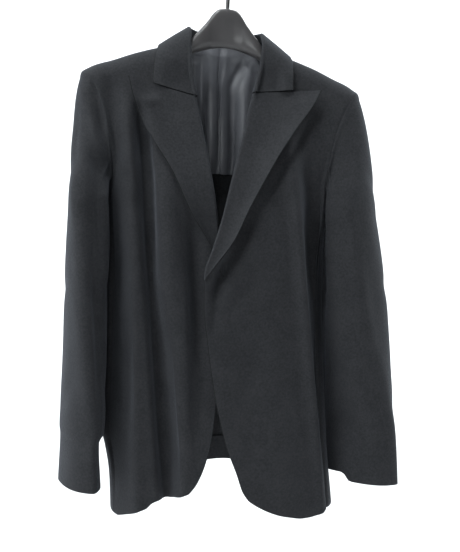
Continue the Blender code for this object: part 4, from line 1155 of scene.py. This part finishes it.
def add_body(side, wool):
    name = SIDE_NAMES[side]
    side_seams = {"first_column": SIDE_SEAM, "last_column": SIDE_SEAM, "last_row": ARM_SEAM}
    panels = (
        (
            "front_", front_point, FINE_FRONT, (0, -1, 0), {"last_column": SIDE_SEAM, "last_row": ARM_SEAM},
            ("first_row", "first_column"), ["front_" + name, "front_low_" + name],
        ),
        (
            "back_", back_point, FINE_BACK, (0, 1, 0), {**side_seams, "first_column": CENTRE_SEAM},
            ("first_row",), ["back_" + name],
        ),
        ("side_", side_point, FINE_SIDE, (side, 0, 0), side_seams, ("first_row",), ["side_" + name]),
    )
    for kind, surface, (columns, *counts), out, seams, free, nodes in panels:
        rows = steps(0, 1, *counts) if kind == "side_" else body_rows(*counts)
        grid = surface_grid(surface, side, crowded(columns), rows)
        creases = CREASES[kind + name]
        piece, outer = cloth("cloth_" + kind + name, grid, out, wool, seams=seams, free=free, creases=creases)
        declare(outer, nodes)


def add_sleeve(side, wool):
    name = SIDE_NAMES[side]
    upper, under, rows = FINE_SLEEVE
    down = np.concatenate([steps(0, CAP_SHARE, rows // 3), steps(CAP_SHARE, 1, rows)[1:]])
    front, back = SLEEVE_FRONT_SEAM, SLEEVE_BACK_SEAM
    spans = (
        ("upper_", back - 1, front, upper, side, ["sleeve_upper_" + name, "sleeve_upper_low_" + name]),
        ("under_", front, back, under, -side, ["sleeve_under_" + name]),
    )
    for kind, first, last, count, out, nodes in spans:
        turns = first + (last - first) * crowded(count)
        piece, outer = cloth(
            "cloth_sleeve_" + kind + name,
            surface_grid(sleeve_point, side, turns, down),
            (out, 0, 0),
            wool,
            seams={"first_column": SLEEVE_SEAM, "last_column": SLEEVE_SEAM, "first_row": CAP_SEAM},
            free=("last_row",),
            creases=CREASES["sleeve_" + name],
            rope="first_row",
        )
        declare(outer, nodes)


def add_lapel(side, wool):
    table = LAPELS[side]
    down = steps(0, 1, FINE_LAPEL)
    heights = table[0].roll_z + (table[-1].roll_z - table[0].roll_z) * down
    grid = np.array([lapel_row(side, z) for z in heights])
    curl = LAPEL_CURL[side] * ease(down / CURL_HEAD) * ease((1 - down) / CURL_TAIL)
    leaf = np.array(LEAF_STEPS)
    grid[:, -len(leaf) :, 1] -= curl[:, None] * leaf**CURL_POWER
    name = "lapel_" + SIDE_NAMES[side]
    piece, outer = cloth(
        "cloth_" + name,
        grid,
        (0, -1, 0),
        wool,
        seams={"first_row": ARM_SEAM},
        free=("last_column", "last_row"),
        creases=CREASES[name],
        thickness=LAPEL_SHELL,
        unevenness=0.6,
    )
    declare(outer, [name])


def lapel_top_y(side, x, z):
    """The level of the lapel along its upper edge, at places of the collar's leaf."""
    top = LAPELS[side][0]
    start = along(FRONT_EDGES, "z", SIDE_NAMES[side], top.roll_z)
    share = clamp((np.abs(x) - abs(start)) / (abs(top.edge_x) - abs(start)))
    return front_y(side, x, z) + WOOL_WALL / 2 - ROLL_RADIUS - top.lift * share**2


def add_collar(wool):
    turns = np.linspace(-1, 1, FINE_COLLAR + 1)
    grid = np.array([collar_row(turn) for turn in turns])
    leaf = np.array(LEAF_STEPS)
    joined = 1 - ease((leaf - GORGE_OPEN_FROM) / GORGE_OPEN_OVER)
    for row, turn in zip(grid, turns):
        part = row[-len(leaf) :]
        level = lapel_top_y(LEFT if turn > 0 else RIGHT, part[:, 0], part[:, 2])
        part[:, 1] += (level - part[:, 1]) * joined * ease((abs(turn) - GORGE_FROM) / (1 - GORGE_FROM))
    piece, outer = cloth(
        "cloth_collar",
        grid,
        (0, 1, 0),
        wool,
        seams={"first_row": ARM_SEAM, "last_row": ARM_SEAM},
        free=("last_column",),
        creases=CREASES["collar"],
        thickness=LAPEL_SHELL,
        unevenness=0.5,
    )
    declare(outer, ["collar"])


def stand_lining(top):
    """The lining's upper rows, from its top edge up the inner face of the collar's stand."""
    rows = []
    reach = ease((STAND_LINING_HALF - np.abs(top[:, 0])) / STAND_LINING_FADE)
    out = np.clip(np.abs(top[:, 0]), 0, COLLARS[2].seam_x)
    seam_y, seam_z, fold_y, fold_z = (
        along(COLLARS[:3], "seam_x", column, out) for column in ("seam_y", "seam_z", "fold_y", "fold_z")
    )
    for up in steps(0, 1, STAND_LINING_ROWS)[1:]:
        z = top[:, 2] + (STAND_LINING_TOP - top[:, 2]) * up * reach
        y = seam_y + (fold_y - seam_y) * clamp((z - seam_z) / (fold_z - seam_z)) - STAND_CLEARANCE
        y = top[:, 1] + (y - top[:, 1]) * ease(2 * up) * reach
        rows.append(xyz(top[:, 0], y, z))
    return np.array(rows)


def inner_grid(surface, side, across, rows):
    """A surface inside the back, moved to the face that shows, which is the one towards the front."""
    grid = surface_grid(surface, side, across, steps(0, 1, rows))
    return grid - grid_normals(grid, (0, 1, 0)) * LINING_WALL


def add_inside(side, satin, wool):
    name = SIDE_NAMES[side]
    columns, rows, turn_up_rows = FINE_LINING
    grid = inner_grid(lining_point, side, crowded(columns), rows)
    piece, outer = cloth(
        "cloth_lining_back_" + name,
        np.concatenate([grid, stand_lining(grid[-1])]),
        (0, -1, 0),
        satin,
        free=("first_row", "last_column"),
        creases=CREASES["lining"],
        thickness=LINING_SHELL,
        unevenness=0.8,
    )
    declare(outer, ["lining_back_" + name])
    piece, outer = cloth(
        "cloth_hem_turn_up_" + name,
        inner_grid(turn_up_point, side, TURN_UP_SHARE * crowded(columns), turn_up_rows),
        (0, -1, 0),
        wool,
        seams={"first_column": TURN_UP_SEAM},
        free=("last_row",),
        thickness=LINING_SHELL,
        unevenness=0.3,
    )
    declare(outer, ["hem_turn_up_" + name])


def bulged(share):
    return abs(share) ** (2 / ARM_POWER) * (1 if share >= 0 else -1)


def add_hanger(plastic):
    """The moulded arms, with smooth sections between those of the table and a ridge along the top."""
    half_way = np.linspace(0, ARMS[-1].x, ARM_SECTIONS)
    turns = np.linspace(0, 2 * pi, ARM_RING, endpoint=False)
    points = []
    for x in np.concatenate([-half_way[:0:-1], half_way]):
        top, foot, middle_y, half = (float(along(ARMS, "x", column, abs(x))) for column in Arm._fields[1:])
        top += DOME_RISE * bell((abs(x) - DOME_X) / DOME_WIDTH)
        middle, tall = (top + foot) / 2, (top - foot) / 2
        for turn in turns:
            points.append((x, middle_y + half * bulged(cos(turn)), middle + tall * bulged(sin(turn))))
    at = np.arange(len(points)).reshape(-1, ARM_RING)
    after = np.roll(at, -1, axis=1)
    faces = np.stack([at[:-1], after[:-1], after[1:], at[1:]], axis=-1).reshape(-1, 4).tolist()
    faces += [at[0, ::-1].tolist(), at[-1].tolist()]
    mesh = new_mesh("moulded_arms", hang(points).tolist(), faces, [plastic], ARM_SHARP)
    piece = add_object("moulded_arms", mesh)
    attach(piece, "root")
    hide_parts("hanger_arms")


def add_hook(steel):
    curve = bpy.data.curves.new("wire_hook", "CURVE")
    curve.dimensions = "3D"
    curve.bevel_depth = HOOK_RADIUS * MM
    curve.bevel_resolution = 8
    curve.use_fill_caps = True
    spline = curve.splines.new("NURBS")
    spline.order_u = 3
    spline.use_endpoint_u = True
    spline.resolution_u = 6
    route = hang([(x, 0, z) for x, z in hook_route()])
    spline.points.add(len(route) - 1)
    for point, place in zip(spline.points, route):
        point.co = (*place, 1)
    curve.materials.append(steel)
    piece = add_object("wire_hook", curve)
    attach(piece, "root")
    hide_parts("hanger_hook")


def add_room():
    """A pale floor that sweeps up into a wall far behind."""
    bend_y = SWEEP_Y - SWEEP_RADIUS
    profile = [(ROOM_FRONT_Y, FLOOR_Z), (bend_y, FLOOR_Z)]
    for share in steps(0, 1, SWEEP_STEPS)[1:]:
        angle = share * pi / 2
        profile.append((bend_y + SWEEP_RADIUS * sin(angle), FLOOR_Z + SWEEP_RADIUS * (1 - cos(angle))))
    profile.append((SWEEP_Y, WALL_TOP))
    points = [(x, y, z) for y, z in profile for x in (-ROOM_HALF, ROOM_HALF)]
    faces = [(2 * i, 2 * i + 1, 2 * i + 3, 2 * i + 2) for i in range(len(profile) - 1)]
    material, tree = new_material("pale_floor")
    finish_shader(tree, {"Base Color": (*FLOOR_COLOUR, 1), "Roughness": 0.9})
    add_object("room", new_mesh("room", points, faces, [material]))


def add_light(name, place, aim, size, power):
    lamp = bpy.data.lights.new(name, "AREA")
    lamp.shape = "RECTANGLE"
    lamp.size, lamp.size_y = size
    lamp.energy = power
    lamp.color = LIGHT_COLOUR
    light = add_object(name, lamp)
    light.location = place
    light.rotation_euler = (Vector(aim) - Vector(place)).to_track_quat("-Z", "Y").to_euler()


def add_camera():
    data = bpy.data.cameras.new("camera")
    data.sensor_fit = "HORIZONTAL"
    data.sensor_width = 36
    data.lens = CAMERA_LENS
    data.clip_end = 50
    camera = add_object("camera", data)
    camera.location = CAMERA_PLACE
    camera.rotation_euler = (pi / 2 + CAMERA_PITCH, 0, CAMERA_YAW)
    bpy.context.scene.camera = camera


def add_world():
    world = bpy.data.worlds.new("room_light")
    world.use_nodes = True
    background = world.node_tree.nodes["Background"].inputs
    background["Color"].default_value = (*WORLD_COLOUR, 1)
    background["Strength"].default_value = WORLD_LIGHT
    bpy.context.scene.world = world


def main():
    bpy.context.scene.view_settings.view_transform = "Standard"
    add_camera()
    # The second wool, darker and without sheen, paints shade on the rim faces of every piece
    wool = (wool_material("wool_twill"), wool_material("wool_edge_painted_shade", EDGE_PAINTED_SHADE, EDGE_SHEEN))
    satin = (satin_material(),) * 2
    for side in (LEFT, RIGHT):
        add_body(side, wool)
        add_sleeve(side, wool)
        add_lapel(side, wool)
        add_inside(side, satin, wool)
    add_collar(wool)
    add_hanger(plastic_material())
    add_hook(steel_material())
    add_room()
    for lamp in LIGHTS:
        add_light(*lamp)
    add_world()


main()
